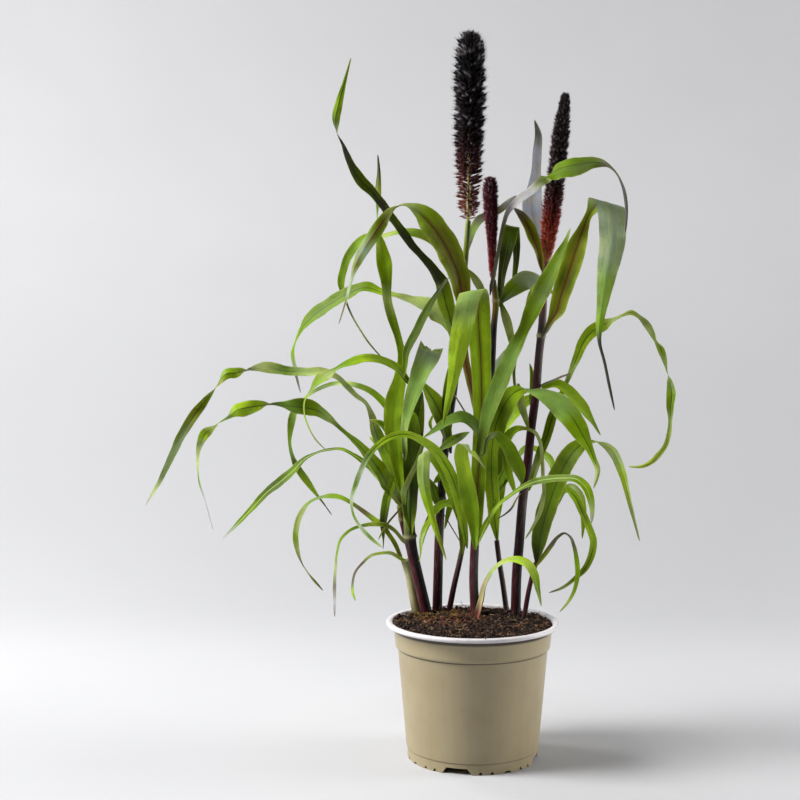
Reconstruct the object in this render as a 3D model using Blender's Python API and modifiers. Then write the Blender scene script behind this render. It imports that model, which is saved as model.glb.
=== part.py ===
"""Potted fountain grass clump: a turned nursery pot, soil, ten shoots, three spikes and their blades.

Metres, +Z up, origin at the middle of the pot's base on the ground. Every blade follows a few points
read on the upright plane through the pot's axis, as a viewer in front of the pot sees them, and each
point is then carried along its line of sight to the depth at which the blade really hangs.
"""
import math

import bmesh
import bpy
from mathutils import Matrix, Vector

# ---------------------------------------------------------------- driving dimensions, in metres
MM = 0.001
FIT_GAP = 0.0003            # air between pieces that touch

POT_HEIGHT = 0.150
RIM_RADIUS = 0.095
BEAD_WIDTH = 0.007
BEAD_HEIGHT = 0.0048
COLLAR_RADIUS = 0.0865      # wall just under the bead
STEP_Z = 0.122              # the wall steps in here
STEP_DEPTH = 0.0022
FOOT_RADIUS = 0.0715
WALL = 0.0018
FOOT_RING_WIDTH = 0.0045
FOOT_HEIGHT = 0.0070        # from the ground to the crease above the notches
PAD_RADIUS = 0.018          # flat hub in the middle of the base that touches the ground
BASE_RECESS = 0.0068
FLOOR_TOP = 0.0088
TURN_STEPS = 36

BIG_NOTCH_BOTTOM = 0.033
BIG_NOTCH_TOP = 0.023
BIG_NOTCH_HEIGHT = 0.0065
BIG_NOTCH_ANGLE = -103.4    # degrees, the notch left of the pot's front
SMALL_NOTCH_BOTTOM = 0.0044
SMALL_NOTCH_TOP = 0.0014
SMALL_NOTCH_HEIGHT = 0.0030
LOW_NOTCH_BOTTOM = 0.0080     # the wide low notch between two quarters of the foot
LOW_NOTCH_TOP = 0.0060
LOW_NOTCH_HEIGHT = 0.0020
DRAIN_RADIUS = 0.0045
DRAIN_DISTANCE = 0.052

SOIL_HEAP = 0.1545          # top of the heap round the shoots
SOIL_EDGE = 0.1440          # level at the wall
SOCKET_DEPTH = 0.012        # how far a shoot stands in the soil

BLADE_THICKNESS = 0.0008
ARCH = 1.4                  # a blade stays near its shoot at first and leaves it faster later
LEAN = 38.0                 # degrees by which a blade that travels sideways lies back to face the sky
MOST_WIDENING = 1.4         # limit on the width given back to a blade that lies back

# The viewer whose line of sight carries a reading from the upright plane to its depth.
EYE = Vector((0.0, -1.4898, 0.467))


# ---------------------------------------------------------------- helpers
def material(name, colour, roughness):
    """A Principled material of one colour."""
    made = bpy.data.materials.new(name)
    made.use_nodes = True
    shader = made.node_tree.nodes["Principled BSDF"]
    shader.inputs["Base Color"].default_value = (*colour, 1.0)
    shader.inputs["Roughness"].default_value = roughness
    shader.inputs["Metallic"].default_value = 0.0
    return made


def new_collection(name):
    made = bpy.data.collections.new(name)
    bpy.context.scene.collection.children.link(made)
    return made


def add_object(name, mesh, where, look=None):
    """An object for a mesh, in a collection, with its material."""
    made = bpy.data.objects.new(name, mesh)
    where.objects.link(made)
    if look is not None:
        mesh.materials.append(look)
    return made


def seen_at(across, up, depth):
    """The point seen at (across, up) on the upright plane, carried to its depth; millimetres in."""
    on_plane = Vector((across * MM, 0.0, up * MM))
    reach = (depth * MM - EYE.y) / (0.0 - EYE.y)
    return EYE + (on_plane - EYE) * reach


def ring_points(radius, count, turn=0.0):
    """Points evenly round a circle, as (x, y)."""
    step = math.tau / count
    return [(radius * math.cos(turn + step * i), radius * math.sin(turn + step * i)) for i in range(count)]


def shade_round(mesh, angle=50.0):
    mesh.shade_smooth()
    mesh.set_sharp_from_angle(angle=math.radians(angle))


def cut(target, cutter):
    """Take the cutter out of the target."""
    modifier = target.modifiers.new("Cut " + cutter.name, "BOOLEAN")
    modifier.operation = "DIFFERENCE"
    modifier.object = cutter
    cutter.hide_render = True
    cutter.display_type = "WIRE"


# ---------------------------------------------------------------- pot
def turned(name, profile, where, look):
    """A closed body of revolution from a closed (radius, height) outline."""
    mesh = bpy.data.meshes.new(name)
    corners = [(radius, 0.0, height) for radius, height in profile]
    on_axis = profile[0][0] == 0.0
    last = len(corners) - 1
    edges = [(i, i + 1) for i in range(last)]
    if not on_axis:
        edges.append((last, 0))
    mesh.from_pydata(corners, edges, [])
    made = add_object(name, mesh, where, look)
    screw = made.modifiers.new("Turn", "SCREW")
    screw.steps = TURN_STEPS
    screw.render_steps = TURN_STEPS
    screw.use_merge_vertices = True
    screw.merge_threshold = 0.00001
    screw.use_smooth_shade = True
    return made


def pot_profile():
    """Outer side from the floor's middle over the rim and down the outside to the base pad."""
    bead_in = RIM_RADIUS - BEAD_WIDTH
    bead_low = POT_HEIGHT - BEAD_HEIGHT
    step_in = COLLAR_RADIUS - STEP_DEPTH
    ring_in = FOOT_RADIUS - FOOT_RING_WIDTH
    inside = [
        (0.0, FLOOR_TOP),
        (FOOT_RADIUS - 2.4 * WALL, FLOOR_TOP),
        (FOOT_RADIUS - 1.2 * WALL, FLOOR_TOP + WALL),
        (step_in - STEP_DEPTH - WALL, STEP_Z - STEP_DEPTH),
        (step_in - WALL, STEP_Z + STEP_DEPTH),
        (bead_in - 1.6 * WALL, bead_low),
        (bead_in - 0.0008, POT_HEIGHT - 0.0012),
    ]
    bead = [
        (bead_in + 0.0012, POT_HEIGHT - 0.0002),
        (RIM_RADIUS - 0.0030, POT_HEIGHT),
        (RIM_RADIUS - 0.0009, POT_HEIGHT - 0.0009),
        (RIM_RADIUS, POT_HEIGHT - 0.0024),
        (RIM_RADIUS - 0.0009, bead_low + 0.0008),
        (RIM_RADIUS - 0.0030, bead_low),
        (COLLAR_RADIUS + 0.0004, bead_low),
    ]
    outside = [
        (step_in + 0.0004, STEP_Z + 0.0008),
        (step_in - STEP_DEPTH, STEP_Z - 0.0012),
        (FOOT_RADIUS + 0.0012, FOOT_HEIGHT + 0.0055),
        (FOOT_RADIUS + 0.0004, FOOT_HEIGHT + 0.0045),
        (FOOT_RADIUS, 0.0),
        (ring_in, 0.0),
        (ring_in - 0.0012, BASE_RECESS),
        (PAD_RADIUS + 0.0012, BASE_RECESS),
        (PAD_RADIUS, 0.0),
        (0.0, 0.0),
    ]
    return inside + bead + outside


def wedge(wide, narrow, height, reach, angle):
    """A notch cutter: a trapezium across the foot ring, standing slightly below the ground."""
    below = 0.001
    slope = (wide - narrow) / (2.0 * height)
    outline = [
        (-wide / 2 - slope * below, -below),
        (wide / 2 + slope * below, -below),
        (narrow / 2, height),
        (-narrow / 2, height),
    ]
    near = FOOT_RADIUS - reach
    far = FOOT_RADIUS + 0.006
    made = bmesh.new()
    inner = [made.verts.new((near, across, up)) for across, up in outline]
    outer = [made.verts.new((far, across, up)) for across, up in outline]
    made.faces.new(list(reversed(inner)))
    made.faces.new(outer)
    for i in range(4):
        j = (i + 1) % 4
        made.faces.new((inner[i], inner[j], outer[j], outer[i]))
    bmesh.ops.recalc_face_normals(made, faces=made.faces)
    bmesh.ops.rotate(made, verts=made.verts, matrix=Matrix.Rotation(math.radians(angle), 3, "Z"))
    return made


def merge_into(whole, piece):
    """Add one bmesh to another and drop the first."""
    scratch = bpy.data.meshes.new("scratch")
    piece.to_mesh(scratch)
    piece.free()
    whole.from_mesh(scratch)
    bpy.data.meshes.remove(scratch)


def foot_cutters(where):
    """All notches of the foot ring and the four drain holes, as one cutter."""
    whole = bmesh.new()
    for quarter in range(4):
        middle = BIG_NOTCH_ANGLE + 90.0 * quarter
        merge_into(whole, wedge(BIG_NOTCH_BOTTOM, BIG_NOTCH_TOP, BIG_NOTCH_HEIGHT, 0.0075, middle))
        for offset in (-30.5, -20.5, 20.5, 30.5):
            merge_into(whole, wedge(SMALL_NOTCH_BOTTOM, SMALL_NOTCH_TOP, SMALL_NOTCH_HEIGHT, 0.0065,
                                    middle + offset))
        merge_into(whole, wedge(LOW_NOTCH_BOTTOM, LOW_NOTCH_TOP, LOW_NOTCH_HEIGHT, 0.0065,
                                middle + 45.0))
        drain = bmesh.new()
        bmesh.ops.create_cone(drain, cap_ends=True, segments=12, radius1=DRAIN_RADIUS,
                              radius2=DRAIN_RADIUS, depth=0.014)
        turn = math.radians(middle + 45.0)
        place = Vector((DRAIN_DISTANCE * math.cos(turn), DRAIN_DISTANCE * math.sin(turn), FLOOR_TOP))
        bmesh.ops.translate(drain, verts=drain.verts, vec=place)
        merge_into(whole, drain)
    mesh = bpy.data.meshes.new("foot_cutters")
    whole.to_mesh(mesh)
    whole.free()
    return add_object("foot_cutters", mesh, where)


def make_pot(where, cutters, look):
    pot = turned("pot", pot_profile(), where, look)
    cut(pot, foot_cutters(cutters))
    return pot


# ---------------------------------------------------------------- shoots
# Name, radius at the soil, radius at the top, then (across, up, depth) points from the soil upwards,
# in millimetres. Node heights along the shoot swell a little.
SHOOTS = {
    "stem_left_sheath": (6.8, 5.2, [(-60, 157, 30), (-65, 180, 30), (-69, 200, 30), (-74, 216, 29)], []),
    "stem_left": (6.2, 6.0, [(-50, 155, 18), (-56, 180, 17), (-62, 205, 15), (-68, 235, 13), (-70, 262, 12),
                             (-69, 300, 11), (-68, 335, 10), (-68, 364, 9)], [242]),
    "stem_left_rear": (4.0, 3.8, [(-49, 158, 48), (-60, 195, 48), (-70, 230, 46), (-77, 259, 45),
                                  (-80, 276, 44)], [261]),
    "stem_tall": (5.6, 3.0, [(-39, 158, 36), (-38, 200, 35), (-37, 240, 34), (-35, 282, 33), (-32, 325, 31),
                             (-27, 365, 29), (-21, 405, 26), (-17, 440, 23), (-13, 480, 20), (-11, 520, 16),
                             (-8, 556, 13), (-6, 586, 11)], [284, 470]),
    "stem_slender": (3.4, 2.8, [(-26, 159, 24), (-21, 185, 21), (-15, 212, 17), (-10, 236, 14)], []),
    "stem_red": (5.2, 3.2, [(3, 158, 8), (1, 190, 7), (2, 230, 6), (5, 280, 5), (9, 330, 4), (14, 380, 2),
                            (20, 430, 0), (22, 470, -1), (24, 502, -2), (21, 522, -3)], [500]),
    "stem_thin_right": (3.1, 2.8, [(37, 161, 36), (33, 190, 34), (29, 215, 31), (26, 238, 28)], []),
    "stem_right": (5.6, 4.0, [(47, 157, 12), (48, 200, 13), (51, 240, 13), (54, 280, 12), (59, 320, 11),
                              (63, 360, 10), (68, 400, 8), (71, 440, 6), (74, 470, 4), (76, 510, 3),
                              (78, 541, 2)], [462]),
    "stem_low_right": (2.8, 2.5, [(57, 158, 4), (61, 182, 3), (65, 200, 3), (69, 214, 2)], []),
}
SHOOT_SIDES = 8
NODE_SWELL = 1.22
NODE_HALF = 2.2             # half the height of a swollen node, in millimetres


def shoot_path(points, first_radius, last_radius, nodes):
    """Centre points in metres with a radius for each, with three extra points at every node."""
    low = points[0][1]
    high = points[-1][1]
    levels = [(up, 1.0) for _, up, _ in points]
    for node in nodes:
        levels += [(node - 2 * NODE_HALF, 1.0), (node, NODE_SWELL), (node + 2 * NODE_HALF, 1.0)]
    levels.sort()
    path = []
    for up, swell in levels:
        for lower, upper in zip(points, points[1:]):
            if lower[1] <= up <= upper[1]:
                share = (up - lower[1]) / (upper[1] - lower[1])
                across = lower[0] + share * (upper[0] - lower[0])
                depth = lower[2] + share * (upper[2] - lower[2])
        grown = (up - low) / (high - low)
        radius = (first_radius + grown * (last_radius - first_radius)) * swell
        path.append((seen_at(across, up, depth), radius * MM))
    return path


def rooted(path):
    """The path with a foot added that stands SOCKET_DEPTH down in the soil."""
    first, radius = path[0]
    second = path[1][0]
    slope = (second - first).normalized()
    surface = soil_height(math.hypot(first.x, first.y))
    foot = first + slope * ((surface - SOCKET_DEPTH - first.z) / slope.z)
    return [(foot, radius * 0.98)] + path


def tube_mesh(name, path, sides):
    """A tube through the path's points with the path's radii, closed at both ends."""
    made = bmesh.new()
    rings = []
    for i, (centre, radius) in enumerate(path):
        before = path[max(i - 1, 0)][0]
        after = path[min(i + 1, len(path) - 1)][0]
        along = (after - before).normalized()
        side = along.cross(Vector((0.0, 1.0, 0.0))).normalized()
        front = along.cross(side)
        ring = []
        for x, y in ring_points(radius, sides):
            ring.append(made.verts.new(centre + side * x + front * y))
        rings.append(ring)
    for lower, upper in zip(rings, rings[1:]):
        for i in range(sides):
            j = (i + 1) % sides
            made.faces.new((lower[i], lower[j], upper[j], upper[i]))
    made.faces.new(list(reversed(rings[0])))
    made.faces.new(rings[-1])
    bmesh.ops.recalc_face_normals(made, faces=made.faces)
    mesh = bpy.data.meshes.new(name)
    made.to_mesh(mesh)
    made.free()
    shade_round(mesh)
    return mesh


def make_shoots(where, looks):
    """Every shoot, and the foot of each as (centre, direction, radius) for the soil's sockets."""
    feet = []
    for name, (first_radius, last_radius, points, nodes) in SHOOTS.items():
        path = rooted(shoot_path(points, first_radius, last_radius, nodes))
        pale = name == "stem_left_sheath"
        add_object(name, tube_mesh(name, path, SHOOT_SIDES), where, looks["sheath" if pale else "stem"])
        feet.append((path[0], path[1]))
    return feet


# ---------------------------------------------------------------- soil
SOIL_RINGS = (0.020, 0.040, 0.056, 0.070)
SOIL_SIDES = 24


def soil_height(radius):
    """Level of the soil: a low heap round the shoots that sinks to the wall."""
    edge = COLLAR_RADIUS - STEP_DEPTH - WALL
    fall = max(0.0, min(1.0, (radius - 0.030) / (edge - 0.030)))
    return SOIL_HEAP - (SOIL_HEAP - SOIL_EDGE) * fall ** 1.6


def inner_wall_radius(height):
    """Radius of the pot's inside at a height, between the floor and the bead."""
    inside = pot_profile()[2:7]
    for (low_radius, low), (high_radius, high) in zip(inside, inside[1:]):
        if low <= height <= high:
            share = (height - low) / (high - low)
            return low_radius + share * (high_radius - low_radius)
    return inside[0][0]


def make_soil(where, cutters, look, feet):
    """The soil fills the pot from its floor up, lumpy on top, with a socket for each shoot."""
    body = bmesh.new()
    clear = FIT_GAP * 1.6
    bottom = FLOOR_TOP + FIT_GAP
    levels = [bottom, bottom + 0.004, STEP_Z - STEP_DEPTH, STEP_Z + STEP_DEPTH + 0.002, SOIL_EDGE]
    rings = []
    for height in levels:
        radius = inner_wall_radius(max(height, FLOOR_TOP + WALL)) - clear
        if height == bottom:
            radius = FOOT_RADIUS - 2.4 * WALL - clear
        rings.append([body.verts.new((x, y, height)) for x, y in ring_points(radius, SOIL_SIDES)])
    for row, radius in enumerate(reversed(SOIL_RINGS)):
        ring = []
        for i, (x, y) in enumerate(ring_points(radius, SOIL_SIDES)):
            lump = 0.0011 * math.sin(5.0 * i + 2.3 * row) * math.cos(3.0 * i - row)
            ring.append(body.verts.new((x, y, soil_height(radius) + lump)))
        rings.append(ring)
    for lower, upper in zip(rings, rings[1:]):
        for i in range(SOIL_SIDES):
            j = (i + 1) % SOIL_SIDES
            body.faces.new((lower[i], lower[j], upper[j], upper[i]))
    body.faces.new(list(reversed(rings[0])))
    top = body.verts.new((0.0, 0.0, SOIL_HEAP))
    for i in range(SOIL_SIDES):
        body.faces.new((rings[-1][i], rings[-1][(i + 1) % SOIL_SIDES], top))
    bmesh.ops.recalc_face_normals(body, faces=body.faces)
    mesh = bpy.data.meshes.new("soil")
    body.to_mesh(mesh)
    body.free()
    soil = add_object("soil", mesh, where, look)
    for number, ((foot, radius), (mouth, wide)) in enumerate(feet):
        slope = (mouth - foot).normalized()
        socket = [(foot - slope * FIT_GAP, radius + FIT_GAP), (mouth + slope * 0.015, wide + FIT_GAP)]
        socket_mesh = tube_mesh("socket_%d" % number, socket, SHOOT_SIDES)
        cut(soil, add_object("socket_%d" % number, socket_mesh, cutters))
    return soil


# ---------------------------------------------------------------- spikes
# Name: (bottom point, top point, [(share of the height, radius)], tiers, spikelets in a tier).
SPIKES = {
    "spike_tall": ((-6, 588, 11), (-4, 787, 2),
                   [(0.0, 5.0), (0.02, 9.5), (0.15, 12.0), (0.5, 15.5), (0.8, 14.0), (0.95, 9.0), (1.0, 2.5)],
                   27, 8),
    "spike_small": ((21, 524, -3), (17, 636, -8),
                    [(0.0, 3.0), (0.1, 3.6), (0.45, 6.0), (0.8, 7.6), (0.95, 5.0), (1.0, 2.0)], 14, 7),
    "spike_right": ((78, 543, 2), (98, 720, -4),
                    [(0.0, 4.2), (0.1, 5.8), (0.3, 8.2), (0.55, 9.6), (0.85, 8.0), (0.96, 5.0), (1.0, 1.6)],
                    20, 7),
}
SPIKELET_OUT = 0.24         # how far a spikelet stands out, as a share of the radius
SPIKELET_UP = 0.55          # how far its tip leans up, as a share of the tier


def lerp_list(pairs, share):
    for (low, first), (high, second) in zip(pairs, pairs[1:]):
        if low <= share <= high:
            return first + (second - first) * (share - low) / (high - low)
    return pairs[-1][1]


def make_spike(name, where, look):
    """Tiers of pointed spikelets grown from one core, each tier turned half a spikelet from the last."""
    bottom, top, widths, tiers, count = SPIKES[name]
    start = seen_at(*bottom) + Vector((0.0, 0.0, FIT_GAP * 2))
    end = seen_at(*top)
    along = (end - start).normalized()
    side = along.cross(Vector((0.0, 1.0, 0.0))).normalized()
    front = along.cross(side)
    tier = (end - start).length / tiers
    body = bmesh.new()
    rings = []
    for row in range(tiers + 1):
        radius = lerp_list(widths, row / tiers) * MM
        ring = []
        for i in range(2 * count):
            stands_out = (i + row) % 2 == 0 and 0 < row < tiers
            reach = radius * (1.0 + SPIKELET_OUT if stands_out else 1.0 - SPIKELET_OUT)
            if row in (0, tiers):
                reach = radius
            turn = math.tau * i / (2 * count)
            rise = tier * SPIKELET_UP if stands_out else 0.0
            offset = side * reach * math.cos(turn) + front * reach * math.sin(turn)
            ring.append(body.verts.new(start + along * (tier * row + rise) + offset))
        rings.append(ring)
    for lower, upper in zip(rings, rings[1:]):
        for i in range(2 * count):
            j = (i + 1) % (2 * count)
            body.faces.new((lower[i], lower[j], upper[j], upper[i]))
    body.faces.new(list(reversed(rings[0])))
    body.faces.new(rings[-1])
    bmesh.ops.triangulate(body, faces=body.faces)
    bmesh.ops.recalc_face_normals(body, faces=body.faces)
    mesh = bpy.data.meshes.new(name)
    body.to_mesh(mesh)
    body.free()
    return add_object(name, mesh, where, look)


# ---------------------------------------------------------------- blades
# Name: (depth at the base, depth at the tip, [(across, up, width, turn, cross, step), ...]),
# millimetres and degrees. Turn is how far the blade has turned about its own length from facing the
# viewer. Cross and step are given only where a blade folds over: cross is the angle in the view of the
# line from edge to edge, and step moves the rest of the blade in depth, so that the halves stand apart.
BLADES = {
    # left group
    "blade_far_left": (44, -30, [
        (-83, 284, 8), (-89, 315, 12), (-97, 335, 13), (-106, 355, 12), (-112, 374, 9, 30),
        (-118, 388, 7, 60), (-128, 396, 8, 50), (-138, 405, 8, 35), (-147, 415, 7, 30), (-160, 421, 9, 15),
        (-182, 422, 9), (-205, 423, 10), (-228, 427, 12), (-246, 424, 10, 75), (-260, 421, 12, 140),
        (-271, 420, 12, 165), (-280, 409, 6, 230), (-292, 394, 9, 300), (-306, 376, 11, 330),
        (-318, 357, 11, 345), (-331, 331, 9, 360), (-344, 304, 6, 360), (-353, 289, 4, 360),
        (-362, 274, 1.5, 360)]),
    "blade_left_second": (38, -140, [
        (-80, 280, 9), (-86, 288, 12), (-94, 299, 14), (-102, 314, 14), (-111, 326, 12),
        (-122, 338, 10, 20), (-135, 351, 7, 45), (-147, 361, 6, 50), (-158, 371, 9, 30),
        (-172, 380, 14, 15), (-187, 383, 17, 10), (-203, 384, 13, 30), (-221, 386, 9, 85),
        (-234, 385, 12, 135), (-247, 383, 16, 160), (-259, 380, 14, 180), (-268, 373, 6, 215),
        (-277, 368, 5, 250), (-286, 361, 8, 290), (-295, 354, 11, 330), (-300, 343, 8, 350),
        (-303, 322, 4, 390), (-302, 303, 4, 400), (-296, 282, 3, 400), (-291, 264, 2.5, 400),
        (-287, 248, 1.5, 400)]),
    "blade_left_low": (50, 120, [
        (-84, 281, 6), (-92, 294, 8), (-103, 307, 7), (-117, 321, 6), (-131, 331, 5, 30),
        (-143, 337, 5, 45), (-157, 337, 4, 45), (-172, 333, 4, 40), (-185, 326, 6, 20), (-197, 314, 9),
        (-212, 301, 10), (-226, 290, 9), (-242, 273, 7), (-257, 257, 5), (-276, 238, 1.5)]),
    "blade_left_loop": (20, 150, [
        (-84, 371, 8), (-91, 381, 9), (-98, 389, 8), (-110, 400, 7), (-125, 407, 6), (-140, 410, 5),
        (-155, 409, 4.5), (-170, 403, 5, 30), (-183, 394, 5, 40), (-192, 385, 6, 25), (-197, 375, 9),
        (-200, 362, 8), (-201, 347, 5, 25), (-199, 333, 5, 25), (-194, 320, 8), (-187, 309, 9),
        (-180, 299, 8), (-172, 288, 4), (-165, 279, 2.5, 30), (-155, 265, 1.5, 30)]),
    "blade_left_light": (-6, -95, [
        (-73, 413, 6), (-84, 427, 8), (-100, 435, 8), (-120, 437, 9), (-137, 431, 8, 20),
        (-150, 425, 6, 50), (-160, 419, 12, 20), (-170, 411, 9, 10), (-177, 402, 4, 40),
        (-184, 392, 3, 50), (-185, 379, 3, 50), (-182, 367, 3, 40), (-175, 352, 2.5, 40),
        (-162, 337, 1.5, 40)]),
    "blade_left_upright": (1, 34, [
        (-80, 300, 9), (-84, 330, 14), (-88, 362, 19), (-86, 392, 20), (-80, 416, 14), (-78, 440, 9),
        (-82, 460, 8), (-89, 482, 10), (-94, 500, 10, 20), (-95, 520, 12, 10), (-97, 540, 17),
        (-101, 560, 12, 30), (-104, 577, 6, 70), (-105, 600, 9, 115), (-104, 620, 8, 150),
        (-103, 640, 4, 160), (-104, 658, 1.5, 160)]),
    "blade_left_branch": (-16, -50, [
        (-74, 426, 5), (-72, 445, 8), (-64, 462, 9), (-55, 480, 9), (-46, 497, 7), (-37, 511, 4),
        (-27, 525, 1.5)]),
    "blade_left_torn": (-3, -22, [
        (-74, 335, 6), (-75, 358, 8), (-71, 380, 12), (-64, 403, 17), (-56, 425, 21),
        (-48, 444, 26, 0, -22), (-46, 450, 26, 0, -24)]),
    "blade_low_arc": (30, 100, [
        (-80, 220, 4), (-86, 234, 5), (-93, 245, 5), (-99, 254, 6), (-107, 259, 6), (-120, 269, 5),
        (-133, 278, 4), (-144, 284, 5), (-156, 286, 5.5), (-168, 284, 3, 30), (-179, 279, 4, 30),
        (-188, 268, 6), (-193, 255, 7), (-195, 240, 7), (-193, 226, 5.5), (-188, 211, 3, 40),
        (-183, 203, 2.5, 50), (-175, 193, 4, 20), (-165, 181, 1.5, 20)]),
    "blade_low_wisp": (26, -30, [
        (-80, 217, 4), (-90, 223, 3.5), (-101, 223, 3), (-112, 220, 3), (-121, 212, 2.5),
        (-129, 202, 2.5), (-132, 190, 2.5), (-132, 180, 3), (-129, 170, 1.5)]),
    "blade_low_hanging": (22, -70, [
        (-78, 238, 4), (-86, 248, 4), (-96, 254, 4.5), (-109, 255, 4.5), (-122, 253, 3.5),
        (-135, 248, 3), (-145, 238, 3), (-149, 224, 2.5), (-151, 206, 3), (-152, 186, 3.5),
        (-152, 168, 3), (-152, 152, 1.5)]),
    # tall shoot
    "blade_up_left": (14, -60, [
        (-21, 455, 8), (-25, 478, 14), (-31, 500, 18), (-37, 522, 15, 20), (-48, 538, 11, 35),
        (-60, 551, 10, 35), (-75, 570, 11, 30), (-88, 588, 10, 30), (-100, 604, 10, 25),
        (-111, 618, 11, 20), (-124, 631, 12, 10), (-134, 648, 9, 30), (-142, 667, 7, 60),
        (-148, 680, 7, 90), (-150, 694, 10, 135), (-146, 714, 8, 160), (-140, 736, 4, 170),
        (-133, 762, 1.5, 170)]),
    "blade_olive": (20, -90, [
        (3, 376, 7), (-1, 400, 8), (-7, 425, 9), (-11, 448, 9), (-12, 475, 11), (-12, 500, 16),
        (-16, 525, 22), (-26, 550, 26), (-40, 574, 26), (-55, 591, 22, 5), (-67, 600, 13, 40),
        (-78, 603, 8, 75), (-89, 597, 10, 115), (-99, 585, 13, 145), (-109, 571, 14, 165),
        (-120, 555, 12, 175), (-128, 539, 8, 180), (-133, 524, 4, 195), (-137, 509, 4, 220),
        (-141, 494, 4, 230), (-147, 475, 1.5, 230)]),
    "blade_behind_olive": (30, 130, [
        (-19, 525, 6), (-30, 548, 9), (-45, 565, 10), (-62, 573, 10), (-80, 574, 8, 40),
        (-100, 569, 8, 30), (-120, 567, 9), (-133, 553, 10), (-141, 535, 9), (-144, 518, 8),
        (-140, 503, 4, 40), (-135, 490, 3, 40), (-125, 471, 2.5, 30), (-112, 452, 2.5, 30),
        (-96, 434, 1.5, 30)]),
    "blade_pale_left": (17, 75, [
        (-23, 463, 9), (-29, 476, 16), (-41, 487, 24, 15), (-58, 497, 20, 35), (-78, 503, 12, 55),
        (-98, 508, 11, 40), (-117, 514, 13, 20), (-136, 508, 14), (-155, 497, 14), (-174, 484, 14),
        (-188, 468, 9, 30), (-194, 455, 5, 55), (-197, 442, 6, 20), (-195, 427, 5), (-192, 412, 3),
        (-189, 399, 1.5)]),
    "blade_flag": (19, 60, [
        (-8, 546, 4), (-5, 562, 7), (0, 577, 9), (7, 587, 10), (17, 592, 9, 20), (28, 598, 8, 30),
        (38, 606, 7, 35), (46, 613, 2, 35)]),
    "blade_mid_left": (20, 0, [
        (-27, 343, 7), (-31, 361, 13), (-36, 377, 18), (-43, 391, 17), (-50, 402, 10), (-56, 412, 2)]),
    # middle fan
    "blade_arch": (4, -150, [
        (-8, 239, 5), (-11, 258, 9), (-15, 280, 12), (-21, 302, 12), (-31, 322, 11), (-43, 338, 10),
        (-57, 348, 8), (-72, 354, 7), (-88, 352, 6.5), (-102, 344, 6), (-114, 331, 6),
        (-123, 314, 5.5), (-129, 297, 5), (-133, 282, 4, 30), (-131, 266, 3.5, 45), (-123, 252, 4, 20),
        (-112, 240, 4), (-99, 229, 1.5)]),
    "blade_hanging_left": (12, -30, [
        (-10, 243, 4), (-16, 266, 7), (-26, 292, 8), (-37, 318, 9, 10), (-45, 331, 12, 0, 20, -2),
        (-51, 336, 15, 0, 25, -4), (-54, 322, 14, 0, 5, -3), (-54, 304, 13), (-51, 286, 11), (-46, 268, 8),
        (-41, 251, 6), (-35, 234, 4), (-29, 216, 1.5)]),
    "blade_low_bow": (20, 12, [
        (-9, 241, 4), (-11, 254, 6), (-15, 268, 7), (-22, 277, 7), (-32, 278, 8), (-42, 270, 8),
        (-49, 257, 7), (-54, 243, 5), (-57, 228, 1.5)]),
    # red shoot
    "blade_big_fold": (-4, -30, [
        (4, 244, 9), (4, 268, 14), (5, 297, 16), (7, 330, 17), (9, 365, 18), (9, 400, 20), (8, 435, 22),
        (6, 468, 25), (4, 496, 27, 0, 4), (2, 508, 27, 0, 6, -3), (-1, 511, 27, 0, 8, -5),
        (-5, 503, 26, 0, 9, -4), (-9, 486, 25, 0, 4), (-13, 466, 23, 0, 0),
        (-17, 445, 20), (-21, 420, 13), (-25, 400, 9), (-29, 382, 6), (-33, 364, 1.5)]),
    "blade_bright_fold": (-16, -28, [
        (2, 238, 7), (1, 256, 12), (-2, 275, 17), (-6, 295, 18), (-10, 315, 16), (-13, 334, 15, 0, 4),
        (-11, 344, 12, 0, -4, -3), (-5, 338, 8, 0, -25, -3), (1, 333, 5), (7, 326, 3), (13, 317, 1.5)]),
    "blade_mid_level": (-11, -30, [
        (8, 342, 6), (5, 357, 9), (-2, 368, 11), (-13, 373, 12), (-24, 370, 10), (-36, 363, 7),
        (-46, 356, 4), (-54, 351, 1.5)]),
    "blade_twisted": (-9, -95, [
        (20, 516, 4), (24, 538, 4, 20), (28, 561, 4, 30), (32, 582, 4.5, 40), (38, 598, 6, 35),
        (49, 608, 8), (62, 618, 9), (74, 629, 10, 40), (84, 637, 17, 130), (98, 643, 20, 175),
        (115, 646, 19, 180), (130, 648, 12, 190), (143, 645, 5, 230), (152, 637, 3.5, 250),
        (159, 624, 3.5, 240), (163, 607, 4, 230), (164, 590, 3, 230), (163, 573, 1.5, 230)]),
    "blade_dark_fold": (9, 24, [
        (29, 509, 7), (31, 530, 9), (35, 552, 14), (38, 569, 18), (40, 578, 18, 0, -8, 3),
        (42, 580, 15, 0, -12, 4), (44, 573, 12, 0, -10, 3), (46, 560, 9, 0, -5), (46, 545, 7),
        (44, 525, 5), (42, 506, 1.5)]),
    "blade_pale_right": (12, 40, [
        (32, 499, 6), (38, 505, 14), (46, 514, 20, 10), (56, 521, 21, 10), (67, 520, 17, 10),
        (77, 514, 11), (86, 508, 3)]),
    "blade_node_hanging": (8, 16, [
        (31, 494, 5), (35, 483, 9), (39, 468, 9), (42, 452, 6), (43, 438, 1.5)]),
    # thin right shoot
    "blade_fold_right": (34, -60, [
        (26, 246, 6), (24, 262, 12), (22, 288, 15), (20, 316, 17), (21, 342, 19), (25, 365, 23),
        (33, 385, 24), (42, 398, 20, 20, None, -6), (52, 404, 14, 55, None, -8),
        (66, 403, 12, 120, None, -6), (82, 397, 19, 155),
        (98, 384, 23, 175), (110, 369, 22, 180), (119, 353, 16, 185), (126, 340, 9, 190),
        (131, 328, 6, 205), (135, 317, 6, 215), (134, 307, 4, 215), (131, 296, 1.5, 215)]),
    "blade_droop": (-28, -60, [
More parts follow.
